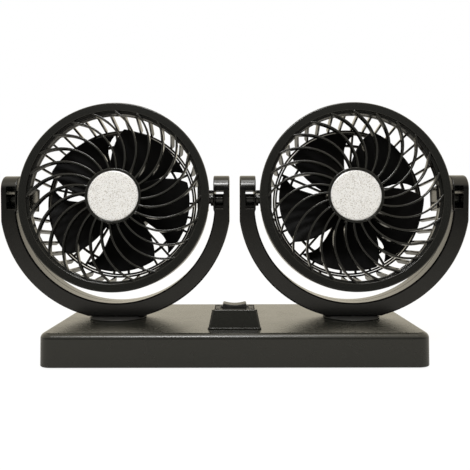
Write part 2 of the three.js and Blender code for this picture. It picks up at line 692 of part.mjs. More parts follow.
// The tilt pin: a grip in the head's boss, a flat-topped flange in the gap and a head in the window
function tiltPin() {
  const flangeIn = RING_RADIUS + SEAT_GAP;
  const flangeOut = PAD_FACE - SEAT_GAP;
  const headIn = PAD_FACE + WINDOW_WALL + SEAT_GAP;
  const headOut = PAD_FACE + WINDOW_WALL + WINDOW_WIDTH - SEAT_GAP;
  const body = solid(turnedAboutX([
    [0, RING_RADIUS - PIN_GRIP],
    [PIN_RADIUS, RING_RADIUS - PIN_GRIP],
    [PIN_RADIUS, flangeIn],
    [PIN_FLANGE_RADIUS, flangeIn],
    [PIN_FLANGE_RADIUS, flangeOut],
    [PIN_RADIUS, flangeOut],
    [PIN_RADIUS, headIn],
    [PIN_HEAD_RADIUS, headIn],
    [PIN_HEAD_RADIUS, headOut],
    [0, headOut],
  ], PIN_FACETS));
  const flat = box(
    [flangeIn - SEAT_GAP, -PIN_FLANGE_RADIUS - OVERRUN, PIN_FLAT_HEIGHT],
    [flangeOut + SEAT_GAP / 2, PIN_FLANGE_RADIUS + OVERRUN, PIN_FLANGE_RADIUS + OVERRUN],
  );
  return body.subtract(flat);
}

// The spiral grille: ribs on circular arcs between the hub and the ring

// Where a circular arc, its centre out along zero degrees, crosses a radius, as an angle about the hub
function arcAngle(radius) {
  const across = radius ** 2 + RIB_ARC_CENTRE ** 2 - RIB_ARC_RADIUS ** 2;
  return Math.acos(across / (2 * radius * RIB_ARC_CENTRE));
}

function ribOutline() {
  const [inner, outer] = [HUB_RADIUS - HUB_LIP / 2, RING_OPENING + SKIRT_THICKNESS / 2];
  const [a, b] = [inner, outer].map((radius) => {
    const angle = -arcAngle(radius);
    return Math.atan2(radius * Math.sin(angle), radius * Math.cos(angle) - RIB_ARC_CENTRE);
  });
  const shape = new THREE.Shape();
  shape.absarc(RIB_ARC_CENTRE, 0, RIB_ARC_RADIUS + RIB_WIDTH / 2, a, b);
  shape.absarc(RIB_ARC_CENTRE, 0, RIB_ARC_RADIUS - RIB_WIDTH / 2, b, a, true);
  return shape;
}

// Ribs lean forwards from the ring to the proud hub
function ribs() {
  const rib = extruded(ribOutline(), RIB_DEPTH, RIB_FACETS).rotateX(Math.PI / 2);
  const places = rib.attributes.position;
  const rise = HUB_PROUD / (RING_OPENING - HUB_RADIUS);
  for (let i = 0; i < places.count; i += 1) {
    const out = Math.hypot(places.getX(i), places.getZ(i)) - HUB_RADIUS;
    places.setY(i, places.getY(i) + rise * Math.max(out, 0));
  }
  rib.translate(0, HUB_FRONT + RIB_SETBACK + RIB_DEPTH, 0);
  const foot = THREE.MathUtils.radToDeg(arcAngle(HUB_RADIUS)) + RIB_FOOT_ANGLE;
  return around(RIB_COUNT, foot).map((angle) => solid(rib.clone().rotateY(-radians(angle))));
}

function frontGrille() {
  const face = solid(turned([
    [RING_OPENING, -RING_FRONT],
    [RING_RADIUS - RING_EDGE, -RING_FRONT],
    [RING_RADIUS, -RING_FRONT + RING_EDGE],
    [RING_RADIUS, RING_BACK],
    [RING_OPENING + SKIRT_THICKNESS, RING_BACK],
    [RING_OPENING + SKIRT_THICKNESS, SKIRT_REAR],
    [RING_OPENING, SKIRT_REAR],
  ], RING_FACETS));
  const hub = solid(turned([
    [0, HUB_FRONT + DISC_SINK + DISC_THICKNESS + SEAT_GAP],
    [HUB_RADIUS - HUB_LIP, HUB_FRONT + DISC_SINK + DISC_THICKNESS + SEAT_GAP],
    [HUB_RADIUS - HUB_LIP, HUB_FRONT],
    [HUB_RADIUS, HUB_FRONT],
    [HUB_RADIUS, HUB_FRONT + HUB_DEPTH],
    [0, HUB_FRONT + HUB_DEPTH],
  ], HUB_FACETS));
  return joined([face, hub, ...ribs()]);
}

// The head's ring behind the grille, with a boss inside and a tab outside at each pivot
function headRing() {
  const wall = solid(turned([
    [RING_INNER, BEHIND_FACE],
    [RING_RADIUS, BEHIND_FACE],
    [RING_RADIUS - RING_TAPER, RING_REAR],
    [RING_INNER, RING_REAR],
  ], RING_FACETS));
  const extras = [-1, 1].flatMap((side) => {
    const boss = [side * (RING_INNER + RING_WALL / 2), side * (RING_INNER - PIVOT_BOSS_DEPTH + RING_WALL)];
    const tab = [side * (RING_INNER + SEAT_GAP), side * (PAD_FACE - SEAT_GAP)];
    return [
      box(
        [Math.min(...boss), LIP_FRONT, -PIVOT_BOSS_WIDTH / 2],
        [Math.max(...boss), RING_REAR, PIVOT_BOSS_WIDTH / 2],
      ),
      box(
        [Math.min(...tab), -TAB_DEPTH / 2, TAB_LOW],
        [Math.max(...tab), TAB_DEPTH / 2, TAB_LOW + TAB_HEIGHT],
      ),
    ];
  });
  const reach = RING_RADIUS - PIN_GRIP - SEAT_GAP;
  const bores = [[reach, RING_RADIUS + OVERRUN], [-RING_RADIUS - OVERRUN, -reach]].map(([low, high]) => (
    solid(turnedAboutX(rod(PIN_RADIUS + PIN_PLAY, low, high), PIN_FACETS))
  ));
  return cutAway(joined([wall, ...extras]), bores);
}

function hubDisc() {
  return solid(turned(
    rod(HUB_RADIUS - HUB_LIP - SEAT_GAP, HUB_FRONT + DISC_SINK, HUB_FRONT + DISC_SINK + DISC_THICKNESS),
    HUB_FACETS,
  ));
}

// The rear guard: a cage of straight bars down the sides, and a flat back held in the cage's rim

// The pierced back: rings and spokes are what is left between two rows of openings
function rearGuard() {
  const shape = new THREE.Shape();
  shape.absarc(0, 0, BACK_RADIUS, 0, 2 * Math.PI);
  const rows = [
    [MIDDLE_RING_RADIUS, CORNER_RING_RADIUS - CORNER_RING_WIDTH],
    [MOUNT_RADIUS, MIDDLE_RING_RADIUS - MIDDLE_RING_WIDTH],
  ];
  rows.forEach(([inner, outer]) => {
    around(SPOKE_COUNT, 0).forEach((degrees) => {
      const corners = [inner, outer].map((radius) => {
        const margin = Math.asin(SPOKE_WIDTH / 2 / radius);
        const [from, to] = [radians(degrees) + margin, radians(degrees + 360 / SPOKE_COUNT) - margin];
        return [from, to].map((angle) => (
          new THREE.Vector2(radius * Math.cos(angle), radius * Math.sin(angle))
        ));
      });
      shape.holes.push(new THREE.Path([corners[0][0], corners[1][0], corners[1][1], corners[0][1]]));
    });
  });
  const bore = turned(
    rod(MOTOR_BOSS_RADIUS + PIN_PLAY, PLATE_FRONT - OVERRUN, GUARD_REAR + OVERRUN),
    MOTOR_FACETS,
  );
  const screwHoles = motorScrewPlaces().map((place) => solid(turned(
    rod(SCREW_HOLE, PLATE_FRONT - OVERRUN, GUARD_REAR + OVERRUN),
    SCREW_FACETS,
  )).translate(place));
  const plate = solid(extruded(shape, GUARD_REAR_THICKNESS, RING_FACETS / 2).rotateX(Math.PI / 2))
    .translate([0, GUARD_REAR, 0]);
  return cutAway(plate, [solid(bore), ...screwHoles]);
}

// Each bar is a fin slanting from the flange's lip to the cage's rim, sunk a little in both
function guardBar() {
  const [foot, heel] = [RING_OPENING + SEAT_GAP, CORNER_RING_RADIUS - 2 * SEAT_GAP];
  const [front, rear] = [LIP_REAR - SEAT_GAP, GUARD_REAR - SEAT_GAP];
  const shape = new THREE.Shape();
  shape.moveTo(foot, front);
  shape.lineTo(foot + BAR_THICKNESS, front);
  shape.lineTo(heel + BAR_THICKNESS, rear);
  shape.lineTo(heel, rear);
  return extruded(shape, BAR_WIDTH, 1).translate(0, 0, -BAR_WIDTH / 2);
}

function guardCage() {
  const bossEdge = PIVOT_BOSS_WIDTH / 2 + SEAT_GAP;
  const bossReach = (bossEdge + BAR_WIDTH / 2) / FLANGE_INNER;
  const bars = around(BAR_COUNT, 180 / BAR_COUNT)
    .filter((angle) => Math.abs(Math.sin(radians(angle))) > bossReach)
    .map((angle) => solid(guardBar().rotateY(-radians(angle))));
  const flange = solid(turned([
    [FLANGE_INNER, BEHIND_FACE],
    [FLANGE_RADIUS, BEHIND_FACE],
    [FLANGE_RADIUS, LIP_REAR],
    [RING_OPENING, LIP_REAR],
    [RING_OPENING, LIP_FRONT],
    [FLANGE_INNER, LIP_FRONT],
  ], RING_FACETS));
  const rimFront = PLATE_FRONT - 2 * SEAT_GAP;
  const rim = solid(turned(tube(CAGE_RIM_INNER, CORNER_RING_RADIUS, rimFront, GUARD_REAR), RING_FACETS));
  const notches = [-1, 1].map((side) => {
    const inner = side * (RING_INNER - PIVOT_BOSS_DEPTH + RING_WALL - SEAT_GAP);
    const outer = side * (RING_RADIUS + OVERRUN);
    return box(
      [Math.min(inner, outer), -RING_FRONT, -bossEdge],
      [Math.max(inner, outer), RING_REAR + SEAT_GAP, bossEdge],
    );
  });
  return cutAway(joined([flange, rim, ...bars]), notches);
}

// The motor, its end cap and the cover behind it

function motorScrewPlaces() {
  return [-1, 1].map((side) => [side * MOTOR_SCREW_CIRCLE, 0, 0]);
}

function motorCan() {
  const body = solid(turned([
    [SHAFT_BORE, PLATE_FRONT],
    [MOTOR_BOSS_RADIUS, PLATE_FRONT],
    [MOTOR_BOSS_RADIUS, MOTOR_FRONT],
    [MOTOR_RADIUS, MOTOR_FRONT],
    [MOTOR_RADIUS, MOTOR_REAR],
    [SHAFT_BORE, MOTOR_REAR],
  ], MOTOR_FACETS));
  const holes = motorScrewPlaces().map((place) => solid(turned(
    rod(SCREW_HOLE, MOTOR_FRONT - OVERRUN, MOTOR_FRONT + SCREW_BITE + SEAT_GAP),
    SCREW_FACETS,
  )).translate(place));
  return cutAway(body, holes);
}

function motorCap() {
  return solid(turned(tube(SHAFT_BORE, MOTOR_RADIUS, MOTOR_REAR + SEAT_GAP, CAP_REAR), MOTOR_FACETS));
}

function motorCover() {
  const inner = MOTOR_RADIUS + PIN_PLAY;
  const outer = inner + COVER_WALL;
  const front = GUARD_REAR + SEAT_GAP;
  const shell = solid(turned([
    [inner, front],
    [MOUNT_RADIUS, front],
    [MOUNT_RADIUS, front + COVER_FLANGE],
    [outer, front + COVER_FLANGE],
    [outer, COVER_REAR - COVER_EDGE],
    [outer - COVER_EDGE / 3, COVER_REAR - COVER_EDGE / 3],
    [outer - COVER_EDGE, COVER_REAR],
    [0, COVER_REAR],
    [0, CAP_REAR + SEAT_GAP],
    [inner, CAP_REAR + SEAT_GAP],
  ], MOTOR_FACETS));
  const vent = new THREE.BoxGeometry(VENT_LENGTH, 2 * COVER_WALL + OVERRUN, VENT_WIDTH)
    .translate(outer - COVER_EDGE - VENT_LENGTH / 2, COVER_REAR, 0);
  const vents = around(VENT_COUNT, 0).map((angle) => solid(vent.clone().rotateY(-radians(angle))));
  return cutAway(shell, vents);
}

// The impeller: wide swept blades, each a unit block bent to its surface by formula

// Near the tip the leading corner is cut back and the trailing one runs out to a hook
function bladeSpan(share, leads) {
  const outside = Math.max(0, share - BLADE_CORNER_SHARE) / (1 - BLADE_CORNER_SHARE);
  const corner = leads ? -BLADE_LEADING_CUT : BLADE_TRAILING_HOOK;
  return THREE.MathUtils.lerp(BLADE_ROOT_SPAN, BLADE_TIP_SPAN, share) + corner * outside ** 2;
}

function blade() {
  const block = new THREE.BoxGeometry(1, 1, 1, 4, 4, 1);
  const places = block.attributes.position;
  const root = IMPELLER_HUB_RADIUS - IMPELLER_WALL / 2;
  for (let i = 0; i < places.count; i += 1) {
    const [chord, span, depth] = [places.getX(i), places.getY(i) + 0.5, places.getZ(i)];
    const radius = THREE.MathUtils.lerp(root, BLADE_TIP_RADIUS, span);
    const lean = BLADE_LEAN * (0.5 - span);
    const angle = radians(lean + chord * bladeSpan(span, chord > 0));
    const camber = BLADE_CAMBER * (1 - 4 * chord ** 2);
    const height = chord * (BLADE_HEIGHT - BLADE_THICKNESS) + camber - depth * BLADE_THICKNESS;
    places.setXYZ(i, radius * Math.cos(angle), BLADE_MIDDLE - height, radius * Math.sin(angle));
  }
  return block;
}

function impeller() {
  const hub = solid(turned([
    [0, IMPELLER_FRONT],
    [IMPELLER_HUB_RADIUS - IMPELLER_WALL, IMPELLER_FRONT],
    [IMPELLER_HUB_RADIUS, IMPELLER_FRONT + IMPELLER_WALL],
    [IMPELLER_HUB_RADIUS, IMPELLER_REAR],
    [IMPELLER_HUB_RADIUS - IMPELLER_WALL, IMPELLER_REAR],
    [IMPELLER_HUB_RADIUS - IMPELLER_WALL, IMPELLER_FRONT + IMPELLER_WALL],
    [SHAFT_BORE + IMPELLER_WALL, IMPELLER_FRONT + IMPELLER_WALL],
    [SHAFT_BORE + IMPELLER_WALL, IMPELLER_REAR],
    [SHAFT_BORE, IMPELLER_REAR],
    [SHAFT_BORE, IMPELLER_REAR - SHAFT_ENGAGEMENT],
    [0, IMPELLER_REAR - SHAFT_ENGAGEMENT],
  ], MOTOR_FACETS));
  const blades = around(BLADE_COUNT, 180 / BLADE_COUNT)
    .map((angle) => solid(blade().rotateY(-radians(angle))));
  return joined([hub, ...blades]);
}

function motorShaft() {
  return solid(turned(
    rod(SHAFT_RADIUS, IMPELLER_REAR - SHAFT_ENGAGEMENT + SEAT_GAP, CAP_REAR),
    PIN_FACETS,
  ));
}

// One fan unit: the swivelling yoke, the tilting head in it and the turning impeller in the head

function spinningParts(side, phase) {
  const group = new THREE.Group();
  group.rotation.y = -radians(phase);
  group.add(piece(`${side}_impeller`, impeller(), 'blade'));
  group.add(piece(`${side}_motor_shaft`, motorShaft(), 'steel'));
  return group;
}

function head(side, phase) {
  const group = new THREE.Group();
  group.position.z = PIVOT_HEIGHT;
  group.rotation.x = -radians(HEAD_TILT);
  group.add(piece(`${side}_front_grille`, frontGrille(), 'grille'));
  group.add(piece(`${side}_hub_disc`, hubDisc(), 'disc'));
  group.add(piece(`${side}_head_ring`, headRing(), 'grille'));
  group.add(piece(`${side}_guard_cage`, guardCage(), 'grille'));
  group.add(piece(`${side}_rear_guard`, rearGuard(), 'grille'));
  group.add(piece(`${side}_motor_can`, motorCan(), 'steel'));
  group.add(piece(`${side}_motor_end_cap`, motorCap(), 'housing'));
  group.add(piece(`${side}_motor_cover`, motorCover(), 'housing'));
  const screw = turned(screwProfile(SCREW_BITE + GUARD_REAR_THICKNESS), SCREW_FACETS);
  motorScrewPlaces().forEach((place, i) => {
    const body = solid(screw).translate(place).translate([0, PLATE_FRONT - SEAT_GAP, 0]);
    group.add(piece(`${side}_motor_screw_${i + 1}`, body, 'steel'));
  });
  const pin = tiltPin();
  group.add(piece(`${side}_tilt_pin_right`, pin, 'housing'));
  group.add(piece(`${side}_tilt_pin_left`, pin.mirror([1, 0, 0]), 'housing'));
  group.add(spinningParts(side, phase));
  return group;
}

function fanUnit(side, x, phase) {
  const group = new THREE.Group();
  group.position.x = x;
  group.add(piece(`${side}_yoke_front`, yokeHalf(true), 'housing'));
  group.add(piece(`${side}_yoke_rear`, yokeHalf(false), 'housing'));
  group.add(piece(`${side}_swivel_foot`, swivelFoot(), 'housing'));
  group.add(piece(`${side}_swivel_retainer`, swivelRetainer(), 'steel'));
  const upright = turnedAboutZ(screwProfile(YOKE_FLAT + SCREW_BITE - RETAINER_BOTTOM), SCREW_FACETS);
  [-1, 1].forEach((way, i) => {
    const body = solid(upright).translate([0, way * SWIVEL_SCREW_CIRCLE, RETAINER_BOTTOM - SEAT_GAP]);
    group.add(piece(`${side}_swivel_screw_${i + 1}`, body, 'steel'));
  });
  const seat = YOKE_DEPTH / 2 - SCREW_BITE / 2;
  const level = turned(screwProfile(seat + SCREW_BITE), SCREW_FACETS).rotateX(Math.PI);
  yokeScrewPlaces().forEach((place, i) => {
    const body = solid(level).translate(place).translate([0, seat + SEAT_GAP, 0]);
    group.add(piece(`${side}_yoke_screw_${i + 1}`, body, 'steel'));
  });
  group.add(head(side, phase));
  return group;
}

function base() {
  const group = new THREE.Group();
  group.add(piece('base_cover', baseCover(), 'housing'));
  group.add(piece('base_plate', basePlate(), 'housing'));
  const pad = solid(turnedAboutZ(rod(FOOT_RADIUS, 0, FOOT_THICKNESS), MOTOR_FACETS));
  const screwLength = PLATE_THICKNESS + SCREW_BITE - SCREW_HEAD_HEIGHT;
  const screw = solid(turnedAboutZ(screwProfile(screwLength), SCREW_FACETS));
  FOOT_PLACES.forEach(([corner, sx, sy]) => {
    group.add(piece(`foot_${corner}`, pad.translate([sx * FOOT_X, sy * FOOT_Y, 0]), 'rubber'));
    const seated = screw.translate([sx * BOSS_X, sy * BOSS_Y, FOOT_STAND + SCREW_HEAD_HEIGHT]);
    group.add(piece(`base_screw_${corner}`, seated, 'steel'));
  });
  group.add(piece('cable_gland', cableGland(), 'rubber'));
  group.add(piece('switch_housing', switchHousing(), 'housing'));
  group.add(piece('switch_body', switchBody(), 'rocker'));
  [-1, 1].forEach((step, i) => {
    group.add(piece(`switch_terminal_${i + 1}`, terminal(step), 'brass'));
  });
  const key = piece('rocker', rocker(), 'rocker');
  key.position.set(0, HOUSING_Y, ROCKER_AXLE_Z);
  group.add(key);
  return group;
}

const fan = new THREE.Group();
fan.name = 'twin_car_fan';
fan.add(base());
fan.add(fanUnit('left', -AXIS_X, LEFT_FAN_PHASE));
fan.add(fanUnit('right', AXIS_X, RIGHT_FAN_PHASE));

export default fan;
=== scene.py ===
"""Looks for the twin car fan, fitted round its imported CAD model.

Every piece is drawn in millimetres, a fan head's pieces about its tilt axis, and put in its place
in metres at the end. The front looks along -Y, and +Z is up."""
import json
import math
from contextlib import contextmanager

import bmesh
import bpy
from mathutils import Matrix, Vector


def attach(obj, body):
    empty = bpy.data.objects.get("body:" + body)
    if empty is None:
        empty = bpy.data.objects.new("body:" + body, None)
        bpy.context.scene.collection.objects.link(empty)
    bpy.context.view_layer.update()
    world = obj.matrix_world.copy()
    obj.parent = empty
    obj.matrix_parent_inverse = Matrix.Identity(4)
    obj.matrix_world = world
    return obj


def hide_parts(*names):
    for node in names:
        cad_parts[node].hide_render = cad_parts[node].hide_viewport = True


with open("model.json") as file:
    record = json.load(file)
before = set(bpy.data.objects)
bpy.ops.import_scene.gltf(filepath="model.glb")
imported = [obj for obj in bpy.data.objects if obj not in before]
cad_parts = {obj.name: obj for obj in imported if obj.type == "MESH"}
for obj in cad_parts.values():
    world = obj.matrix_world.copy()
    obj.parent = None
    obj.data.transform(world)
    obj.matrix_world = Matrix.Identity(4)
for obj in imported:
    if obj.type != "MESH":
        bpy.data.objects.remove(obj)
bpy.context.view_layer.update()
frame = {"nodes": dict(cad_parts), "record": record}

# A millimetre in metres; every other length down to the camera's is in millimetres
MM = 0.001
# Points closer than this are one point
TINY = 0.0005
# The room between neighbouring pieces
GAP = 0.3
# How far one shape reaches into the next within a piece
OVERLAP = 0.2

# Base
BASE_WIDTH, BASE_DEPTH, BASE_HEIGHT = 198, 100, 17
BASE_CORNER = 7
BASE_EDGE, BASE_RIM_EDGE = 3, 0.3
BASE_DRAFT = 0.3
BASE_WALL = 2.2
STAND = 0.8
BASE_TOP = STAND + BASE_HEIGHT
CORNERS = {
    "front_left": (-1, -1), "front_right": (1, -1), "rear_left": (-1, 1), "rear_right": (1, 1),
}
FOOT_RADIUS, FOOT_THICKNESS, FOOT_INSET = 7, 1.1, 14
FOOT_RIM, FOOT_DISH = 2, 0.15
POST_RADIUS, POST_LOW, POST_PLAY = 8, 14, 0.35
CABLE_Z = STAND + BASE_HEIGHT / 2
GLAND_BORE, GLAND_RADIUS, GLAND_FLANGE, GLAND_STEP = 2, 3, 4.8, 0.7
# Where the base's cutters start, inside its hollow, and end, outside its walls
CUTTER_LOW, CUTTER_TOP = 10, 30
CUTTER_FRONT, CUTTER_REAR = 40, 60

# Screws, with half the length and width of each slot of the cross
SCREW_HEAD_RADIUS, SCREW_HEAD_HEIGHT, SCREW_RADIUS = 2.2, 1.2, 1.1
CROSS_SLOT, CROSS_FLOOR = (1.25, 0.28), 0.45
BASE_SCREW_X, BASE_SCREW_Y, BASE_SCREW_LENGTH = 91.9, 22, 6
YOKE_SCREW_ANGLE, YOKE_SCREW_LENGTH = 45, 11
SEAT_RADIUS, SEAT_FLOOR = 2.5, 6

# Switch
HOUSING_Y = -26.65
HOUSING_WIDTH, HOUSING_DEPTH, HOUSING_HEIGHT = 27.4, 22.5, 9.5
HOUSING_SLOPE = 2
HOUSING_RIM = 1.2
HOUSING_CORNER = 1.4
HOUSING_TOP = BASE_TOP + GAP + HOUSING_HEIGHT
LIP_REACH, LIP_HEIGHT, LIP_CORNER = 0.3, 0.5, 1.5
BEZEL_THICKNESS, BEZEL_CORNER = 1.2, 0.6
BEZEL_RECESS = 0.7 * BEZEL_THICKNESS
SWITCH_HOLE = (18, 13)
SWITCH_WELL = (15, 10)
SWITCH_DEPTH, SWITCH_WALL = 8, 1.2
ROCKER_WIDTH, ROCKER_DEPTH, ROCKER_PROUD, ROCKER_DIP = 12.6, 9.2, 2.7, 0.9
CROWN_STEPS = 16
AXLE_RADIUS, AXLE_LENGTH, AXLE_DEPTH = 1, 11.8, 2

# Yokes
AXIS_X = 67.5
SWIVEL_RADIUS, SWIVEL_CHAMFER, SWIVEL_BORE = 16.2, 1.5, 4.5
SWIVEL_TOP = 19.3
YOKE_FLAT = 19.6
YOKE_CENTRE = 83.138
YOKE_INNER, YOKE_OUTER, YOKE_CURVE = 56.2, 64.6, 65.3
YOKE_NECK, YOKE_HEEL = 15.8, 18.4
YOKE_DEPTH = 17
YOKE_EDGE, PAD_EDGE_SHARE, SEAM_EDGE_SHARE = 0.9, 0.6, 0.22
PIVOT = 85.888
ARM_TOP = 99.5
PAD_FACE = 55.5
PAD_LOW = PIVOT - 6.1
PAD_FOOT = 0.7
WINDOW_IN, WINDOW_OUT = 56.4, 61.3
WINDOW_FLOOR, WINDOW_ROOF, LEDGE = PIVOT - 5.3, PIVOT + 7.4, 0.4
POCKET_FLOOR, POCKET_ROOF, POCKET_WALL = PIVOT - 3.5, PIVOT + 5, 1.2
SLOT_FLOOR, SLOT_ROOF, SLOT_START, SLOT_INSET = PIVOT + 3.4, PIVOT + 4.6, 2, 0.2
PIN_HOLE_RADIUS, PIN_HOLE_SPAN = 2.95, (50, 57)
# The wide, high block that trims the yoke to its side view, and a depth outside the yoke
TRIM_WIDTH, TRIM_LOW = 140, 10
OUTSIDE_YOKE = 20

# Fan heads, about the tilt axis
HEAD_TILT = 8
RING_RADIUS, RING_INNER, RING_OPENING = 53.5, 51.5, 47.4
RING_FRONT, RING_BACK, RING_REAR = -12.9, -10.4, 4.5
RING_EDGE = 0.5
RING_TAPER = 1
SKIRT_RADIUS, SKIRT_REAR = 48.7, -8.2
FACE_STEP = 1.6
HUB_RADIUS, HUB_FRONT, HUB_DEPTH = 15.6, -14.3, 6
DISC_RADIUS, DISC_SETBACK, DISC_THICKNESS = 14.1, 0.3, 0.8
RIB_COUNT = 24
RIB_ARC_RADIUS, RIB_ARC_CENTRE = 27.2, 29.7
RIB_WIDTH, RIB_DEPTH, RIB_SETBACK = 1.1, 4.2, 0.2
RIB_ROOT, RIB_END = 0.6, 0.1
RIB_FOOT_ANGLE = 9.5
BOSS_ROOT, BOSS_REACH, BOSS_HALF_HEIGHT = 1, 5, 6.5
TAB_HALF_DEPTH, TAB_LOW, TAB_TOP = 2.5, 3.1, 5
PIN_RADIUS, PIN_FLANGE, PIN_HEAD, PIN_GRIP, PIN_FLAT = 2.6, 3.8, 3.15, 5, 2.3
FLANGE_INNER, FLANGE_OUTER = 49, 51.2
FLANGE_FRONT, LIP_FRONT, LIP_REAR = -10.1, -7.9, -5.6
NOTCH_OUT, NOTCH_FRONT = 55, -12
CORNER_RING = 44.6
CAGE_RIM_INNER = 43.55
BACK_RADIUS, BACK_INNER = 43.25, 42.2
MIDDLE_RING, MIDDLE_RING_WIDTH = 36, 1.5
GUARD_FRONT, GUARD_REAR = 14.2, 16.4
MOUNT_RADIUS, MOUNT_BORE = 17.5, 4.85
MOTOR_SCREW_X, MOTOR_SCREW_HOLE, MOTOR_SCREW_SPAN = 8, 1.4, (10, 20)
BAR_COUNT, BARS_LEFT_OUT, BAR_WIDTH, BAR_THICKNESS = 40, 2, 1.3, 3
SPOKE_COUNT, SPOKE_WIDTH, SPOKE_SETBACK = 30, 1.3, 0.12
SPOKE_ROOT, SPOKE_END = 0.8, 0.4

# Impellers and motors
BLADE_COUNT = 5
BLADE_GRID = (24, 14)
BLADE_ROOT, BLADE_TIP = 13.2, 41.4
BLADE_MIDDLE = 5.3
BLADE_RISE = 13.4
BLADE_CAMBER = 1.2
BLADE_LEAN = 13
BLADE_SPANS = (71, 55)
BLADE_CORNER_SHARE = 0.6
BLADE_LEADING_CUT, BLADE_TRAILING_HOOK = 3.2, 14.9
BLADE_THICKNESS, BLADE_EDGE = 1.35, 0.45
IMPELLER_RADIUS, IMPELLER_FRONT, IMPELLER_REAR, IMPELLER_WALL = 14, -1.9, 12.7, 1.6
SLEEVE_RADIUS, SHAFT_RADIUS, SHAFT_ENGAGEMENT = 2.9, 1.3, 10
FAN_PHASE = {"left": 30.2, "right": 17.4}
COVER_FRONT, COVER_REAR, COVER_RADIUS, COVER_INNER, COVER_WALL = 16.7, 46.3, 14.15, 12.55, 1.6
VENT_COUNT, VENT_IN, VENT_OUT, VENT_WIDTH, VENT_END = 6, 5.15, 11.15, 2, 0.95

SIDES = {"left": -AXIS_X, "right": AXIS_X}

# Camera, in metres and degrees
LENS, SENSOR_WIDTH = 45.56, 36
CAMERA_PLACE = (0.00137, -0.3440, 0.0781)
CAMERA_DIP, CAMERA_ROLL, CAMERA_YAW = 2.13, 0.12, 0.19

# Floor, in metres: its grey, and the share and strength of its glow to the camera
FLOOR_SIZE = 8
FLOOR_GREY = (0.5, 0.5, 0.5, 1)
GLOW_SHARE, GLOW_STRENGTH = 0.85, 1.1

# Surroundings, from the camera's side to the far side and overhead
WHITE = (1, 1, 1, 1)
FAR_TINT = (1, 0.92, 0.74, 1)
NEAR_STRENGTH, FAR_STRENGTH = 0.08, 1.15
NEAR_DEPTH, FAR_DEPTH, HEIGHT_SHARE = -0.2, 0.6, 1.7


# Ways of working


def select_only(piece):
    bpy.ops.object.select_all(action="DESELECT")
    piece.select_set(True)
    bpy.context.view_layer.objects.active = piece


@contextmanager
def editing(piece):
    select_only(piece)
    bpy.ops.object.mode_set(mode="EDIT")
    bpy.ops.mesh.select_mode(type="VERT")
    bpy.ops.mesh.select_all(action="SELECT")
    yield
    bpy.ops.object.mode_set(mode="OBJECT")


def pick(piece, kind, wanted):
    """Selects the verts, edges or faces for which wanted(part) is true, in edit mode."""
    bpy.ops.mesh.select_mode(type={"verts": "VERT", "edges": "EDGE", "faces": "FACE"}[kind])
    bpy.ops.mesh.select_all(action="DESELECT")
    shape = bmesh.from_edit_mesh(piece.data)
    for part in getattr(shape, kind):
        if wanted(part):
            part.select_set(True)
    bmesh.update_edit_mesh(piece.data)


def middle(part):
    return sum((v.co for v in part.verts), Vector()) / len(part.verts)


def facing(x=0, y=0, z=0):
    way = Vector((x, y, z))
    return lambda face: face.normal.dot(way) > 0.99


def running(axis, least):
    """For edges whose ends lie further apart along the axis than the least."""
    letter = "XYZ".index(axis)
    return lambda edge: abs(edge.verts[0].co[letter] - edge.verts[1].co[letter]) > least


def block(name, low, high):
    size = [b - a for a, b in zip(low, high)]
    centre = [(a + b) / 2 for a, b in zip(low, high)]
    bpy.ops.object.select_all(action="DESELECT")
    bpy.ops.mesh.primitive_cube_add(size=1, location=centre, scale=size)
    made = bpy.context.object
    made.name = name
    bpy.ops.object.transform_apply(location=True, rotation=True, scale=True)
    return made


def drawn_line(name, points, close=False):
    """A wire through the points, pulled from one vertex to the next."""
    bpy.ops.object.select_all(action="DESELECT")
    bpy.ops.mesh.primitive_plane_add(size=GAP, location=points[0])
    made = bpy.context.object
    made.name = name
    bpy.ops.object.transform_apply(location=True, rotation=True, scale=True)
    with editing(made):
        bpy.ops.mesh.merge(type="CENTER")
        for here, there in zip(points, points[1:]):
            step = Vector(there) - Vector(here)
            bpy.ops.mesh.extrude_vertices_move(TRANSFORM_OT_translate={"value": step})
        if close:
            pick(made, "verts", near([points[0], points[-1]]))
            bpy.ops.mesh.edge_face_add()
    return made


def near(points):
    places = [Vector(point) for point in points]
    return lambda part: any((part.co - place).length < TINY for place in places)


def turned(name, profile, steps=96, axis="Y", closed=True):
    """Spins a profile of (radius, along, rounding) about an axis.

    A profile that isn't closed starts and ends on the axis."""
    place = {
        "X": lambda radius, along: (along, 0, radius),
        "Y": lambda radius, along: (radius, along, 0),
        "Z": lambda radius, along: (radius, 0, along),
    }[axis]
    points = [place(*corner[:2]) for corner in profile]
    made = drawn_line(name, points, close=closed)
    roundings = [corner[2] if len(corner) > 2 else 0 for corner in profile]
    with editing(made):
        for rounding in sorted(set(roundings) - {0}):
            corners = [point for point, r in zip(points, roundings) if r == rounding]
            pick(made, "verts", near(corners))
            bpy.ops.mesh.bevel(affect="VERTICES", offset=rounding, segments=4, clamp_overlap=False)
        bpy.ops.mesh.select_all(action="SELECT")
        about = [float(axis == letter) for letter in "XYZ"]
        bpy.ops.mesh.spin(steps=steps, angle=2 * math.pi, center=(0, 0, 0), axis=about)
        tidy_surface()
    return made


def tidy_surface():
    bpy.ops.mesh.select_all(action="SELECT")
    bpy.ops.mesh.remove_doubles(threshold=TINY)
    bpy.ops.mesh.normals_make_consistent(inside=False)


def drill(name, radius, start, end, steps=32, axis="Y"):
    """A plain round bar along an axis, to cut a hole with."""
    profile = [(0, start), (radius, start), (radius, end), (0, end)]
    return turned(name, profile, steps=steps, axis=axis, closed=False)


def slab(name, outline, thickness):
    """Fills a closed outline in one plane and pulls it out by the thickness vector."""
    made = drawn_line(name, outline)
    with editing(made):
        bpy.ops.mesh.edge_face_add()
        bpy.ops.mesh.extrude_region_move(TRANSFORM_OT_translate={"value": thickness})
        tidy_surface()
    return made


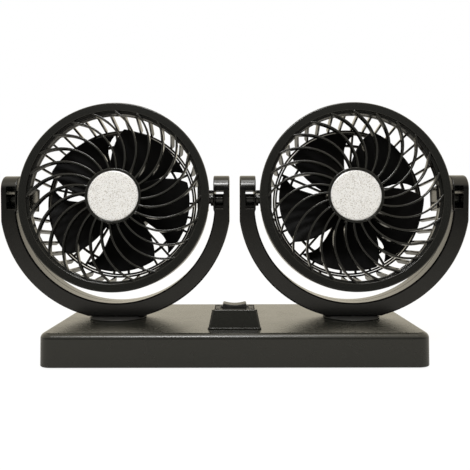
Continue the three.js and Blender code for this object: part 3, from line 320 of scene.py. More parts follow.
def with_modifier(piece, kind, **settings):
    select_only(piece)
    added = piece.modifiers.new(kind.title(), kind)
    for name, value in settings.items():
        setattr(added, name, value)
    bpy.ops.object.modifier_apply(modifier=added.name)
    return piece


def softened(piece, width, segments=3, angle=35):
    return with_modifier(
        piece, "BEVEL", width=width, segments=segments, limit_method="ANGLE",
        angle_limit=math.radians(angle), use_clamp_overlap=False,
    )


def softened_by_place(piece, width, share, segments=3, angle=30):
    """Rounds each sharp edge by its share of the width, given for the edge's middle."""
    shape = bmesh.new()
    shape.from_mesh(piece.data)
    weights = shape.edges.layers.float.new("bevel_weight_edge")
    for edge in shape.edges:
        if len(edge.link_faces) == 2 and edge.calc_face_angle(0) > math.radians(angle):
            edge[weights] = share(middle(edge))
    shape.to_mesh(piece.data)
    shape.free()
    return with_modifier(
        piece, "BEVEL", width=width, segments=segments, limit_method="WEIGHT",
        use_clamp_overlap=False,
    )


def cut(piece, tool, operation="DIFFERENCE", solver="EXACT"):
    with_modifier(piece, "BOOLEAN", object=tool, operation=operation, solver=solver)
    bpy.data.objects.remove(tool)
    return piece


def joined(name, pieces):
    select_only(pieces[0])
    for piece in pieces[1:]:
        piece.select_set(True)
    bpy.ops.object.join()
    pieces[0].name = name
    return pieces[0]


def repeated(piece, count, whole=360):
    """Copies the mesh round the Y axis, evenly over the whole angle, in degrees.

    The copies follow counter-clockwise, as seen from the front."""
    share = whole / count
    with editing(piece):
        bpy.ops.mesh.spin(
            steps=count - 1, angle=math.radians(share * (count - 1)), dupli=True,
            center=(0, 0, 0), axis=(0, 1, 0),
        )
    return piece


def moved(piece, place):
    select_only(piece)
    piece.matrix_world = place
    bpy.ops.object.transform_apply(location=True, rotation=True, scale=True)
    return piece


def copied(piece, name):
    select_only(piece)
    bpy.ops.object.duplicate(linked=False)
    made = bpy.context.object
    made.name = name
    return made


def facing_turn(degrees):
    """A turn about the Y axis, counter-clockwise as seen from the front."""
    return Matrix.Rotation(-math.radians(degrees), 4, "Y")


def at(x=0, y=0, z=0):
    return Matrix.Translation((x, y, z))


def head_place(side):
    """Takes a head's piece from its tilt axis to its place, with the head leaning back."""
    return at(SIDES[side], 0, PIVOT) @ Matrix.Rotation(-math.radians(HEAD_TILT), 4, "X")


def fitted(piece, body, slot, nodes, place=Matrix.Identity(4), smooth=32, finish=None):
    """Puts a shape in its place in metres, with its finish, its body and the nodes it replaces."""
    moved(piece, Matrix.Scale(MM, 4) @ place)
    bpy.ops.object.shade_smooth_by_angle(angle=math.radians(smooth))
    with_modifier(piece, "WEIGHTED_NORMAL", keep_sharp=True)
    piece.data.materials.clear()
    piece.data.materials.append(FINISHES[finish or slot])
    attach(piece, body)
    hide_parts(*nodes)
    return piece


def arc(centre, radius, start, end, count):
    """Points on a circular arc as (across, up), with both its ends, from angles in degrees."""
    angles = [math.radians(start + (end - start) * i / count) for i in range(count + 1)]
    return [(centre[0] + radius * math.cos(a), centre[1] + radius * math.sin(a)) for a in angles]


# Finishes


def node(tree, kind, inputs=None, **settings):
    """Adds a node. An input is given by its name or number, as a value or another node's output."""
    made = tree.nodes.new(kind)
    for name, value in settings.items():
        setattr(made, name, value)
    for name, value in (inputs or {}).items():
        if isinstance(value, bpy.types.NodeSocket):
            tree.links.new(value, made.inputs[name])
        else:
            made.inputs[name].default_value = value
    return made


def maths(tree, operation, first, second=0.0, clamp=False):
    made = node(tree, "ShaderNodeMath", {0: first, 1: second}, operation=operation, use_clamp=clamp)
    return made.outputs[0]


def mix_colour(tree, share, first, second):
    made = node(tree, "ShaderNodeMix", data_type="RGBA")
    for socket, value in (("Factor", share), ("A", first), ("B", second)):
        wanted = [s for s in made.inputs if s.name == socket and s.enabled][0]
        if isinstance(value, bpy.types.NodeSocket):
            tree.links.new(value, wanted)
        else:
            wanted.default_value = value
    return [s for s in made.outputs if s.enabled][0]


def stretched(tree, value, low, high, to_low=0.0, to_high=1.0):
    made = node(tree, "ShaderNodeMapRange", {
        "Value": value, "From Min": low, "From Max": high, "To Min": to_low, "To Max": to_high,
    })
    return made.outputs["Result"]


def new_effect(name, inputs, outputs):
    tree = bpy.data.node_groups.new(name, "ShaderNodeTree")
    for label, default in inputs.items():
        socket = tree.interface.new_socket(label, in_out="INPUT", socket_type="NodeSocketFloat")
        socket.default_value = default
    for label in outputs:
        tree.interface.new_socket(label, in_out="OUTPUT", socket_type="NodeSocketFloat")
    given = tree.nodes.new("NodeGroupInput").outputs
    results = tree.nodes.new("NodeGroupOutput").inputs
    return tree, given, results


def coordinates(tree, per_mm):
    """The piece's own coordinates, in cells of a pattern that has so many cells a millimetre."""
    where = node(tree, "ShaderNodeTexCoord").outputs["Object"]
    scale = maths(tree, "MULTIPLY", per_mm, 1 / MM)
    made = node(tree, "ShaderNodeVectorMath", {0: where, "Scale": scale}, operation="SCALE")
    return made.outputs[0]


def spark_grain():
    """The fine texture that a spark-eroded mould leaves on plastic."""
    tree, given, results = new_effect("spark_grain", {"Cells per mm": 3, "Contrast": 1}, ["Height"])
    where = coordinates(tree, given["Cells per mm"])
    fine = node(tree, "ShaderNodeTexNoise", {
        "Vector": where, "Scale": 1, "Detail": 2, "Roughness": 0.6,
    })
    cells = node(tree, "ShaderNodeTexVoronoi", {"Vector": where, "Scale": 0.7}, feature="SMOOTH_F1")
    both = maths(tree, "ADD", fine.outputs[0], cells.outputs["Distance"])
    tree.links.new(maths(tree, "MULTIPLY", both, given["Contrast"]), results["Height"])
    return tree


def flow_marks():
    """Slow changes in gloss where the plastic filled its mould."""
    inputs = {"Cells per mm": 0.06, "Strength": 0.1}
    tree, given, results = new_effect("flow_marks", inputs, ["Change"])
    where = coordinates(tree, given["Cells per mm"])
    slow = node(tree, "ShaderNodeTexNoise", {
        "Vector": where, "Scale": 1, "Detail": 3, "Roughness": 0.55, "Distortion": 0.8,
    })
    centred = maths(tree, "SUBTRACT", slow.outputs[0], 0.5)
    tree.links.new(maths(tree, "MULTIPLY", centred, given["Strength"]), results["Change"])
    return tree


def rubbed_edges():
    """A mask of the outer edges that hands and cloths have rubbed brighter."""
    tree, given, results = new_effect("rubbed_edges", {"Reach": 0.06, "Amount": 0.5}, ["Mask"])
    bend = node(tree, "ShaderNodeNewGeometry").outputs["Pointiness"]
    where = coordinates(tree, 0.4)
    patches = node(tree, "ShaderNodeTexNoise", {"Vector": where, "Scale": 1, "Detail": 2})
    edge = stretched(tree, bend, 0.505, maths(tree, "ADD", given["Reach"], 0.5))
    broken = maths(tree, "MULTIPLY", edge, stretched(tree, patches.outputs[0], 0.3, 0.6))
    tree.links.new(maths(tree, "MULTIPLY", broken, given["Amount"]), results["Mask"])
    return tree


def settled_dust():
    """A mask of light dust on faces that look up, in soft patches."""
    inputs = {"Cells per mm": 0.3, "Amount": 0.1}
    tree, given, results = new_effect("settled_dust", inputs, ["Mask"])
    normal = node(tree, "ShaderNodeTexCoord").outputs["Normal"]
    up = node(tree, "ShaderNodeSeparateXYZ", {0: normal})
    level = stretched(tree, up.outputs["Z"], 0.5, 1.0)
    where = coordinates(tree, given["Cells per mm"])
    patches = node(tree, "ShaderNodeTexNoise", {
        "Vector": where, "Scale": 1, "Detail": 5, "Roughness": 0.7,
    })
    thin = stretched(tree, patches.outputs[0], 0.42, 0.75)
    lying = maths(tree, "MULTIPLY", level, thin)
    tree.links.new(maths(tree, "MULTIPLY", lying, given["Amount"]), results["Mask"])
    return tree


def fine_scratches():
    """Short hairline marks along one direction, as on rolled or turned metal."""
    inputs = {"Cells per mm": 2, "Strength": 0.2}
    tree, given, results = new_effect("fine_scratches", inputs, ["Height"])
    where = coordinates(tree, given["Cells per mm"])
    drawn = node(tree, "ShaderNodeVectorMath", {0: where, 1: (0.04, 1, 0.3)}, operation="MULTIPLY")
    lines = node(tree, "ShaderNodeTexNoise", {"Vector": drawn.outputs[0], "Scale": 1, "Detail": 4})
    tree.links.new(maths(tree, "MULTIPLY", lines.outputs[0], given["Strength"]), results["Height"])
    return tree


EFFECTS = {
    "grain": spark_grain(),
    "flow": flow_marks(),
    "rubbed": rubbed_edges(),
    "dust": settled_dust(),
    "scratches": fine_scratches(),
}


def effect(tree, name, **inputs):
    """Places a shared effect in a material, with this material's own values."""
    made = tree.nodes.new("ShaderNodeGroup")
    made.node_tree = EFFECTS[name]
    for label, value in inputs.items():
        made.inputs[label.replace("_", " ")].default_value = value
    return made.outputs[0]


DUST = (0.30, 0.29, 0.26, 1)
RUBBER, DUSTY_RUBBER = (0.012, 0.012, 0.012, 1), (0.06, 0.058, 0.055, 1)
FLAKE, DARK_FLAKE, BRIGHT_FLAKE = (
    (0.85, 0.86, 0.88, 1), (0.43, 0.41, 0.385, 1), (0.93, 0.93, 0.93, 1))
FLAKES_PER_MM = 2.7


def new_finish(name, roughness, metallic=0.0, **constants):
    finish = bpy.data.materials.new(name)
    finish.use_nodes = True
    tree = finish.node_tree
    surface = tree.nodes["Principled BSDF"]
    surface.inputs["Roughness"].default_value = roughness
    surface.inputs["Metallic"].default_value = metallic
    for label, value in constants.items():
        surface.inputs[label.replace("_", " ")].default_value = value
    return finish, tree, surface


def bumped(tree, surface, height, distance, strength):
    made = node(tree, "ShaderNodeBump", {
        "Height": height, "Strength": strength, "Distance": distance,
    })
    tree.links.new(made.outputs[0], surface.inputs["Normal"])


def moulded_plastic(name, colour, rubbed_colour, roughness, grain, depth, dust, rub, **more):
    """Black plastic out of a textured mould, rubbed at its edges and dusty on its upper faces.

    Its grain is in cells a millimetre, and the grain's depth in millimetres."""
    finish, tree, surface = new_finish(name, roughness, **more)
    mask = effect(tree, "rubbed", Amount=rub)
    lying = effect(tree, "dust", Amount=dust)
    worn = mix_colour(tree, mask, colour, rubbed_colour)
    tree.links.new(mix_colour(tree, lying, worn, DUST), surface.inputs["Base Color"])
    change = maths(tree, "ADD", effect(tree, "flow", Strength=0.08), roughness)
    duller = maths(tree, "ADD", change, maths(tree, "MULTIPLY", lying, 0.8))
    shinier = maths(tree, "SUBTRACT", duller, maths(tree, "MULTIPLY", mask, 0.12), clamp=True)
    tree.links.new(shinier, surface.inputs["Roughness"])
    bumped(tree, surface, effect(tree, "grain", Cells_per_mm=grain), depth * MM, 0.35)
    return finish


def bare_metal(name, colour, stain, roughness):
    """Plated or drawn metal with hairlines and faint stains."""
    finish, tree, surface = new_finish(name, roughness, metallic=1.0)
    stained = effect(tree, "flow", Cells_per_mm=0.5, Strength=1.2)
    tree.links.new(mix_colour(tree, stained, colour, stain), surface.inputs["Base Color"])
    change = effect(tree, "flow", Cells_per_mm=0.9, Strength=0.3)
    tree.links.new(maths(tree, "ADD", change, roughness), surface.inputs["Roughness"])
    bumped(tree, surface, effect(tree, "scratches"), 0.02 * MM, 0.4)
    return finish


def sparkling_foil():
    """The hub disc's silver: tiny flakes, each with its own tone, gloss and height."""
    finish, tree, surface = new_finish("sparkling_foil", 0.42, metallic=0.15)
    where = coordinates(tree, FLAKES_PER_MM)
    flakes = node(tree, "ShaderNodeTexVoronoi", {"Vector": where, "Scale": 1, "Randomness": 1})
    tones = node(tree, "ShaderNodeSeparateColor", {0: flakes.outputs["Color"]})
    dark = stretched(tree, tones.outputs[0], 0.6, 1.0)
    bright = stretched(tree, tones.outputs[1], 0.7, 1.0)
    base = mix_colour(tree, dark, FLAKE, DARK_FLAKE)
    tree.links.new(mix_colour(tree, bright, base, BRIGHT_FLAKE), surface.inputs["Base Color"])
    gloss = maths(tree, "MULTIPLY", tones.outputs[2], 0.3)
    tree.links.new(maths(tree, "ADD", gloss, 0.25), surface.inputs["Roughness"])
    bumped(tree, surface, tones.outputs[1], 0.05 * MM, 0.5)
    return finish


def soft_rubber():
    finish, tree, surface = new_finish("soft_rubber", 0.85)
    dust = effect(tree, "dust", Cells_per_mm=0.8, Amount=0.3)
    tree.links.new(mix_colour(tree, dust, RUBBER, DUSTY_RUBBER), surface.inputs["Base Color"])
    change = effect(tree, "flow", Cells_per_mm=0.4, Strength=0.15)
    tree.links.new(maths(tree, "ADD", change, 0.82), surface.inputs["Roughness"])
    bumped(tree, surface, effect(tree, "grain", Cells_per_mm=6), 0.03 * MM, 0.5)
    return finish


FINISHES = {
    "housing": moulded_plastic(
        "satin_housing", (0.0125, 0.0128, 0.0107, 1), (0.04, 0.039, 0.036, 1),
        roughness=0.27, grain=3.5, depth=0.004, dust=0.003, rub=0.02),
    "yoke": moulded_plastic(
        "satin_yoke", (0.0005, 0.0005, 0.0004, 1), (0.04, 0.039, 0.036, 1),
        roughness=0.22, grain=3.5, depth=0.004, dust=0.005, rub=0.1),
    "matte": moulded_plastic(
        "matte_housing", (0.02, 0.02, 0.0195, 1), (0.06, 0.06, 0.058, 1),
        roughness=0.5, grain=5, depth=0.02, dust=0.02, rub=0.3),
    "grille": moulded_plastic(
        "satin_grille", (0.012, 0.0123, 0.011, 1), (0.05, 0.05, 0.047, 1),
        roughness=0.16, grain=4.5, depth=0.004, dust=0.005, rub=0.1),
    "bars": moulded_plastic(
        "glossy_bars", (0.01, 0.01, 0.009, 1), (0.05, 0.05, 0.047, 1),
        roughness=0.12, grain=4.5, depth=0.004, dust=0.01, rub=0.2),
    "blade": moulded_plastic(
        "black_blades", (0.0075, 0.0075, 0.0078, 1), (0.01, 0.01, 0.011, 1),
        roughness=0.4, grain=5, depth=0.01, dust=0.005, rub=0.2, Specular_IOR_Level=0.05),
    "rocker": moulded_plastic(
        "switch_plastic", (0.014, 0.014, 0.014, 1), (0.06, 0.06, 0.058, 1),
        roughness=0.35, grain=6, depth=0.008, dust=0.02, rub=0.3, Specular_IOR_Level=0.22),
    "disc": sparkling_foil(),
    "rubber": soft_rubber(),
    "steel": bare_metal("plated_steel", (0.5, 0.5, 0.49, 1), (0.32, 0.31, 0.29, 1), 0.3),
    "brass": bare_metal("brass_blades", (0.66, 0.47, 0.2, 1), (0.4, 0.26, 0.1, 1), 0.28),
}


# Base and switch


def base_shell():
    half_x, half_y = BASE_WIDTH / 2, BASE_DEPTH / 2
    shell = block("base_shell", (-half_x, -half_y, STAND), (half_x, half_y, BASE_TOP))
    with editing(shell):
        pick(shell, "edges", running("Z", BASE_HEIGHT / 2))
        bpy.ops.mesh.bevel(offset=BASE_CORNER, segments=10, affect="EDGES")
        pick(shell, "faces", facing(z=1))
        draft = ((half_x - BASE_DRAFT) / half_x, (half_y - BASE_DRAFT) / half_y, 1)
        bpy.ops.transform.resize(value=draft, center_override=(0, 0, BASE_TOP))
        bpy.ops.mesh.bevel(offset=BASE_EDGE, segments=9, affect="EDGES")
        pick(shell, "faces", facing(z=-1))
        bpy.ops.mesh.delete(type="FACE")
    with_modifier(shell, "SOLIDIFY", thickness=BASE_WALL, offset=-1, use_even_offset=True)
    for x in SIDES.values():
        hole = drill("bearing", POST_RADIUS + POST_PLAY, 0, CUTTER_TOP, steps=48, axis="Z")
        cut(shell, moved(hole, at(x=x)))
    hole_x, hole_y = SWITCH_HOLE[0] / 2, SWITCH_HOLE[1] / 2
    cut(shell, block("switch_hole", (-hole_x, HOUSING_Y - hole_y, CUTTER_LOW),
                     (hole_x, HOUSING_Y + hole_y, CUTTER_TOP)))
    flange_seat = half_y - BASE_DRAFT - GLAND_STEP - GAP
    for radius, start in ((GLAND_RADIUS, CUTTER_FRONT), (GLAND_FLANGE, flange_seat)):
        hole = drill("gland_hole", radius + GAP, start, CUTTER_REAR, steps=48)
        cut(shell, moved(hole, at(z=CABLE_Z)))
    return softened_by_place(shell, BASE_RIM_EDGE, lambda spot: 1 if spot.z < STAND + 1 else 0)


def foot_pad():
    """A round pad that stands on its rim, round a shallow dish."""
    dish = FOOT_RADIUS - FOOT_RIM
    return turned("foot_pad", [
        (0, FOOT_DISH), (dish - 0.2, FOOT_DISH, 0.1), (dish, 0, 0.1), (FOOT_RADIUS, 0, 0.3),
        (FOOT_RADIUS, FOOT_THICKNESS, 0.15), (0, FOOT_THICKNESS),
    ], steps=64, axis="Z", closed=False)


def gland():
    """A collar through the rear wall, its flange outside, with a bore for the cable."""
    rear = BASE_DEPTH / 2 - BASE_DRAFT
    return turned("gland", [
        (GLAND_BORE, rear - BASE_WALL, 0.2), (GLAND_RADIUS, rear - BASE_WALL, 0.2),
        (GLAND_RADIUS, rear - GLAND_STEP), (GLAND_FLANGE, rear - GLAND_STEP, 0.1),
        (GLAND_FLANGE, rear + GAP, 0.3), (GLAND_BORE, rear + GAP, 0.3),
    ], steps=48)


def screw(length):
    """A cheese-head screw with a cross recess, its head up and the underside of its head at 0."""
    made = turned("screw", [
        (0, SCREW_HEAD_HEIGHT), (1.6, 1.15), (SCREW_HEAD_RADIUS, 0.75, 0.2),
        (SCREW_HEAD_RADIUS, 0, 0.05), (SCREW_RADIUS, 0), (SCREW_RADIUS, 1 - length),
        (0.3, -length), (0, -length),
    ], steps=32, axis="Z", closed=False)
    for x, y in (CROSS_SLOT, CROSS_SLOT[::-1]):
        cut(made, block("recess", (-x, -y, CROSS_FLOOR), (x, y, 2)))
    return made


def switch_pedestal():
    half_x, half_y = HOUSING_WIDTH / 2, HOUSING_DEPTH / 2
    foot = BASE_TOP + GAP
    body = block("switch_pedestal", (-half_x, -half_y, foot), (half_x, half_y, HOUSING_TOP))
    with editing(body):
        pick(body, "faces", facing(z=1))
        slope = ((half_x - HOUSING_SLOPE) / half_x, (half_y - HOUSING_SLOPE) / half_y, 1)
        bpy.ops.transform.resize(value=slope, center_override=(0, 0, HOUSING_TOP))
        pick(body, "edges", running("Z", HOUSING_HEIGHT / 2))
        bpy.ops.mesh.bevel(offset=HOUSING_CORNER, segments=5, affect="EDGES")
        pick(body, "faces", facing(z=1))
        bpy.ops.mesh.inset(thickness=HOUSING_RIM, depth=0)
        bpy.ops.mesh.extrude_region_move(
            TRANSFORM_OT_translate={"value": (0, 0, -BEZEL_THICKNESS - GAP)})
    softened(body, 0.35, angle=40)
    lip = block("pedestal_lip", (-half_x - LIP_REACH, -half_y - LIP_REACH, foot),
                (half_x + LIP_REACH, half_y + LIP_REACH, foot + LIP_HEIGHT))
    with editing(lip):
        pick(lip, "edges", running("Z", LIP_HEIGHT / 2))
        bpy.ops.mesh.bevel(offset=LIP_CORNER, segments=5, affect="EDGES")
        pick(lip, "faces", facing(z=1))
        bpy.ops.mesh.bevel(offset=LIP_REACH, segments=5, affect="EDGES")
    return joined("switch_pedestal", [body, lip])


def switch_bezel():
    """The switch's frame in the pedestal's top, and the plain case of the switch below it."""
    half_x = HOUSING_WIDTH / 2 - HOUSING_SLOPE - HOUSING_RIM - GAP
    half_y = HOUSING_DEPTH / 2 - HOUSING_SLOPE - HOUSING_RIM - GAP
    well_x, well_y = SWITCH_WELL[0] / 2, SWITCH_WELL[1] / 2
    underside = HOUSING_TOP - BEZEL_THICKNESS
    body = block("switch_bezel", (-half_x, -half_y, underside), (half_x, half_y, HOUSING_TOP))
    with editing(body):
        pick(body, "edges", running("Z", BEZEL_THICKNESS / 2))
        bpy.ops.mesh.bevel(offset=BEZEL_CORNER, segments=4, affect="EDGES")
        pick(body, "faces", facing(z=1))
        bpy.ops.mesh.inset(thickness=half_x - well_x, depth=0)
        bpy.ops.mesh.extrude_region_move(TRANSFORM_OT_translate={"value": (0, 0, -BEZEL_RECESS)})
    softened(body, 0.3, angle=40)
    case_x, case_y = well_x + SWITCH_WALL, well_y + SWITCH_WALL
    case = block("switch_case", (-case_x, -case_y, HOUSING_TOP - SWITCH_DEPTH),
                 (case_x, case_y, underside + OVERLAP))
    return joined("switch_bezel", [body, case])


def rocker_key():
    """The key about its axle: a top that dips in the middle, over a shallow keel."""
    half, top = ROCKER_WIDTH / 2, ROCKER_PROUD + AXLE_DEPTH
    crown = []
    for i in range(CROWN_STEPS + 1):
        across = half - ROCKER_DIP / 2 - (ROCKER_WIDTH - ROCKER_DIP) * i / CROWN_STEPS
        crown.append((across, top - ROCKER_DIP * (1 - (1 - 2 * i / CROWN_STEPS) ** 2)))
    shoulder = top - ROCKER_DIP
    outline = [
        (-half, 0), (0, -ROCKER_PROUD / 2), (half, 0), (half, shoulder), *crown, (-half, shoulder),
    ]
    depth = ROCKER_DEPTH / 2
    key = slab("rocker_key", [(x, -depth, z) for x, z in outline], (0, ROCKER_DEPTH, 0))
    softened(key, 0.45, segments=4, angle=40)
    end = AXLE_LENGTH / 2
    axle = turned("axle", [
        (0, -end), (AXLE_RADIUS, -end, 0.1), (AXLE_RADIUS, end, 0.1), (0, end),
    ], steps=24, closed=False)
    return joined("rocker_key", [key, axle])


def fit_base():
    fitted(base_shell(), "root", "housing", ["base_cover"])
    pad, fixing = foot_pad(), screw(BASE_SCREW_LENGTH)
    for corner, (way_x, way_y) in CORNERS.items():
        place = at(way_x * (BASE_WIDTH / 2 - FOOT_INSET), way_y * (BASE_DEPTH / 2 - FOOT_INSET))
        fitted(copied(pad, f"pad_{corner}"), "root", "rubber", [f"foot_{corner}"], place)
        place = at(way_x * BASE_SCREW_X, way_y * BASE_SCREW_Y, STAND + SCREW_HEAD_HEIGHT)
        fitted(copied(fixing, f"fixing_{corner}"), "root", "steel", [f"base_screw_{corner}"],
               place @ Matrix.Rotation(math.pi, 4, "X"))
    for pattern in (pad, fixing):
        bpy.data.objects.remove(pattern)
    fitted(gland(), "root", "rubber", ["cable_gland"], at(z=CABLE_Z))
    forward = at(y=HOUSING_Y)
    fitted(switch_pedestal(), "root", "housing", ["switch_housing"], forward)
    fitted(switch_bezel(), "root", "rocker", ["switch_body"], forward, finish="matte")
    fitted(rocker_key(), "rocker", "rocker", ["rocker"], forward @ at(z=HOUSING_TOP - AXLE_DEPTH))


# Yokes


def swivel_disc():
    """The disc that a yoke stands on, with its hollow post down into the base."""
    underside = BASE_TOP + GAP
    return turned("swivel_disc", [
        (SWIVEL_BORE, POST_LOW, 0.2), (POST_RADIUS, POST_LOW, 0.3), (POST_RADIUS, underside, 0.2),
        (SWIVEL_RADIUS, underside, 0.15), (SWIVEL_RADIUS, underside + GAP, 0.12),
        (SWIVEL_RADIUS - SWIVEL_CHAMFER, SWIVEL_TOP, 0.5), (SWIVEL_BORE, SWIVEL_TOP, 0.2),
    ], steps=128, axis="Z")


def yoke_outline():
    """A yoke from the front: two arms with a pad inside each, and a flat foot."""
    heel = math.degrees(math.asin(YOKE_HEEL / YOKE_CURVE))
    flank = math.degrees(math.acos(YOKE_OUTER / YOKE_CURVE))
    arm = math.degrees(math.asin((YOKE_CENTRE - PAD_LOW + PAD_FOOT) / YOKE_INNER))
    hub = (0, YOKE_CENTRE)
    return [
        (-YOKE_OUTER, ARM_TOP), *arc(hub, YOKE_CURVE, 180 + flank, 270 - heel, 40),
        (-YOKE_NECK, YOKE_FLAT), (YOKE_NECK, YOKE_FLAT),
        *arc(hub, YOKE_CURVE, 270 + heel, 360 - flank, 40), (YOKE_OUTER, ARM_TOP),
        (PAD_FACE, ARM_TOP), (PAD_FACE, PAD_LOW), *arc(hub, YOKE_INNER, -arm, arm - 180, 80),
        (-PAD_FACE, PAD_LOW), (-PAD_FACE, ARM_TOP),
    ]


def yoke_rounding(spot):
    """The share of the yoke's rounding that the edge at a spot gets."""
    if abs(spot.y) < GAP:
        return SEAM_EDGE_SHARE
    on_pad = abs(spot.x) < PAD_FACE + 0.1 and spot.z > PAD_LOW
    on_foot = spot.z < YOKE_FLAT + 0.2
    return PAD_EDGE_SHARE if on_pad or on_foot else 1


def yoke_cutters(front):
    """What comes out of a half: the windows or pockets, the pin holes and the screws' seats."""
    cutters = []
    for low, high in ((WINDOW_IN, WINDOW_OUT), (-WINDOW_OUT, -WINDOW_IN)):
        if front:
            face = -YOKE_DEPTH / 2
            side = [
                (face - 1, WINDOW_FLOOR - 1 - LEDGE), (face + LEDGE, WINDOW_FLOOR),
                (OUTSIDE_YOKE, WINDOW_FLOOR), (OUTSIDE_YOKE, WINDOW_ROOF), (face - 1, WINDOW_ROOF),
            ]
            cutters.append(slab("window", [(low, y, z) for y, z in side], (high - low, 0, 0)))
        else:
            depth = YOKE_DEPTH / 2 - POCKET_WALL
            cutters.append(block("pocket", (low, -OUTSIDE_YOKE, POCKET_FLOOR),
                                 (high, depth, POCKET_ROOF)))
            cutters.append(block("slot", (low + SLOT_INSET, SLOT_START, SLOT_FLOOR),
                                 (high - SLOT_INSET, OUTSIDE_YOKE, SLOT_ROOF)))
    for way in (-1, 1):
        start, end = (way * x for x in PIN_HOLE_SPAN)
        cutters.append(moved(drill("pin_hole", PIN_HOLE_RADIUS, start, end, axis="X"), at(z=PIVOT)))
        if not front:
            seat = drill("screw_seat", SEAT_RADIUS, SEAT_FLOOR, OUTSIDE_YOKE)
            cutters.append(moved(seat, screw_place(way)))
    return cutters


def yoke_half(front):
    outer, inner = YOKE_DEPTH / 2, GAP / 2
    near_face, far_face = (-outer, -inner) if front else (inner, outer)
    half = slab("yoke_half", [(x, near_face, z) for x, z in yoke_outline()],
                (0, far_face - near_face, 0))
    round_top = arc((0, ARM_TOP - outer), outer, 0, 180, 32)
    side = [(-outer, TRIM_LOW), (outer, TRIM_LOW), *round_top]
    trim = slab("arm_side", [(-TRIM_WIDTH / 2, y, z) for y, z in side], (TRIM_WIDTH, 0, 0))
    cut(half, trim, "INTERSECT", solver="MANIFOLD")
    softened_by_place(half, YOKE_EDGE, yoke_rounding, segments=4)
    for cutter in yoke_cutters(front):
        cut(half, cutter, solver="MANIFOLD")
    return half


def screw_place(way, depth=0):
    """On a yoke's middle line, to the left or right of its foot."""
    radius = (YOKE_INNER + YOKE_OUTER) / 2
    angle = math.radians(270 + way * YOKE_SCREW_ANGLE)
    return at(radius * math.cos(angle), depth, YOKE_CENTRE + radius * math.sin(angle))


def fit_yokes():
    disc, front, rear = swivel_disc(), yoke_half(front=True), yoke_half(front=False)
    fixing = screw(YOKE_SCREW_LENGTH)
    for side, x in SIDES.items():
        body, place = f"{side}_yoke", at(x=x)
        fitted(copied(disc, f"{side}_swivel_disc"), body, "housing", [f"{side}_swivel_foot"],
               place, finish="matte")
        for half, pattern, node_name in (("face", front, "front"), ("back", rear, "rear")):
            fitted(copied(pattern, f"{side}_yoke_{half}"), body, "housing",
                   [f"{side}_yoke_{node_name}"], place, finish="yoke")
        for i, way in enumerate((-1, 1)):
            spot = place @ screw_place(way, SEAT_FLOOR + GAP)
            fitted(copied(fixing, f"{side}_yoke_fixing_{i + 1}"), body, "steel",
                   [f"{side}_yoke_screw_{i + 1}"], spot @ Matrix.Rotation(-math.pi / 2, 4, "X"))
    for pattern in (disc, front, rear, fixing):
        bpy.data.objects.remove(pattern)


# Fan heads


def arc_angle(radius):
    """Where a rib's arc, its centre out along zero degrees, crosses a radius, as an angle."""
    across = radius ** 2 + RIB_ARC_CENTRE ** 2 - RIB_ARC_RADIUS ** 2
    return math.acos(across / (2 * radius * RIB_ARC_CENTRE))


def spiral_ribs():
    ends = []
    for radius in (HUB_RADIUS - RIB_ROOT, SKIRT_RADIUS + RIB_END):
        angle = -arc_angle(radius)
        ends.append(math.degrees(
            math.atan2(radius * math.sin(angle), radius * math.cos(angle) - RIB_ARC_CENTRE)))
    rise = (RING_FRONT - HUB_FRONT) / (RING_OPENING - HUB_RADIUS)
    path = []
    for x, z in arc((RIB_ARC_CENTRE, 0), RIB_ARC_RADIUS, *ends, 28):
        out = max(math.hypot(x, z) - HUB_RADIUS, 0)
        path.append((x, HUB_FRONT + RIB_SETBACK + rise * out, z))
    rib = drawn_line("ribs", path)
    with editing(rib):
        bpy.ops.mesh.extrude_edges_move(TRANSFORM_OT_translate={"value": (0, RIB_DEPTH, 0)})
    with_modifier(rib, "SOLIDIFY", thickness=RIB_WIDTH, offset=0)
    with editing(rib):
        bpy.ops.mesh.normals_make_consistent(inside=False)
    softened(rib, 0.4, angle=50)
    foot = math.degrees(arc_angle(HUB_RADIUS)) + RIB_FOOT_ANGLE
    return repeated(moved(rib, facing_turn(foot)), RIB_COUNT)


def spiral_grille():
    """The ring's face, the hub and the curved ribs between them."""
    step = RING_FRONT + FACE_STEP
    face = turned("face", [
        (RING_OPENING, step, 0.3), (SKIRT_RADIUS, step, 0.15),
        (SKIRT_RADIUS + 0.2, RING_FRONT, 0.3), (RING_RADIUS - RING_EDGE, RING_FRONT, 0.2),
        (RING_RADIUS, RING_FRONT + RING_EDGE, 0.15), (RING_RADIUS, RING_BACK, 0.15),
        (SKIRT_RADIUS, RING_BACK), (SKIRT_RADIUS, SKIRT_REAR, 0.3),
        (RING_OPENING, SKIRT_REAR, 0.3),
    ], steps=160)
    seat, rim = HUB_FRONT + DISC_SETBACK + DISC_THICKNESS + GAP, DISC_RADIUS + GAP
    hub = turned("hub", [
        (0, seat), (rim, seat), (rim, HUB_FRONT, 0.25), (HUB_RADIUS, HUB_FRONT, 0.35),
        (HUB_RADIUS, HUB_FRONT + HUB_DEPTH, 0.4), (0, HUB_FRONT + HUB_DEPTH),
    ], closed=False)
    return joined("spiral_grille", [face, hub, spiral_ribs()])


def sparkle_disc():
    front = HUB_FRONT + DISC_SETBACK
    back = front + DISC_THICKNESS
    return turned("sparkle_disc", [
        (0, front), (DISC_RADIUS - 0.7, front, 0.2), (DISC_RADIUS, front + 0.25, 0.15),
        (DISC_RADIUS, back), (0, back),
    ], closed=False)


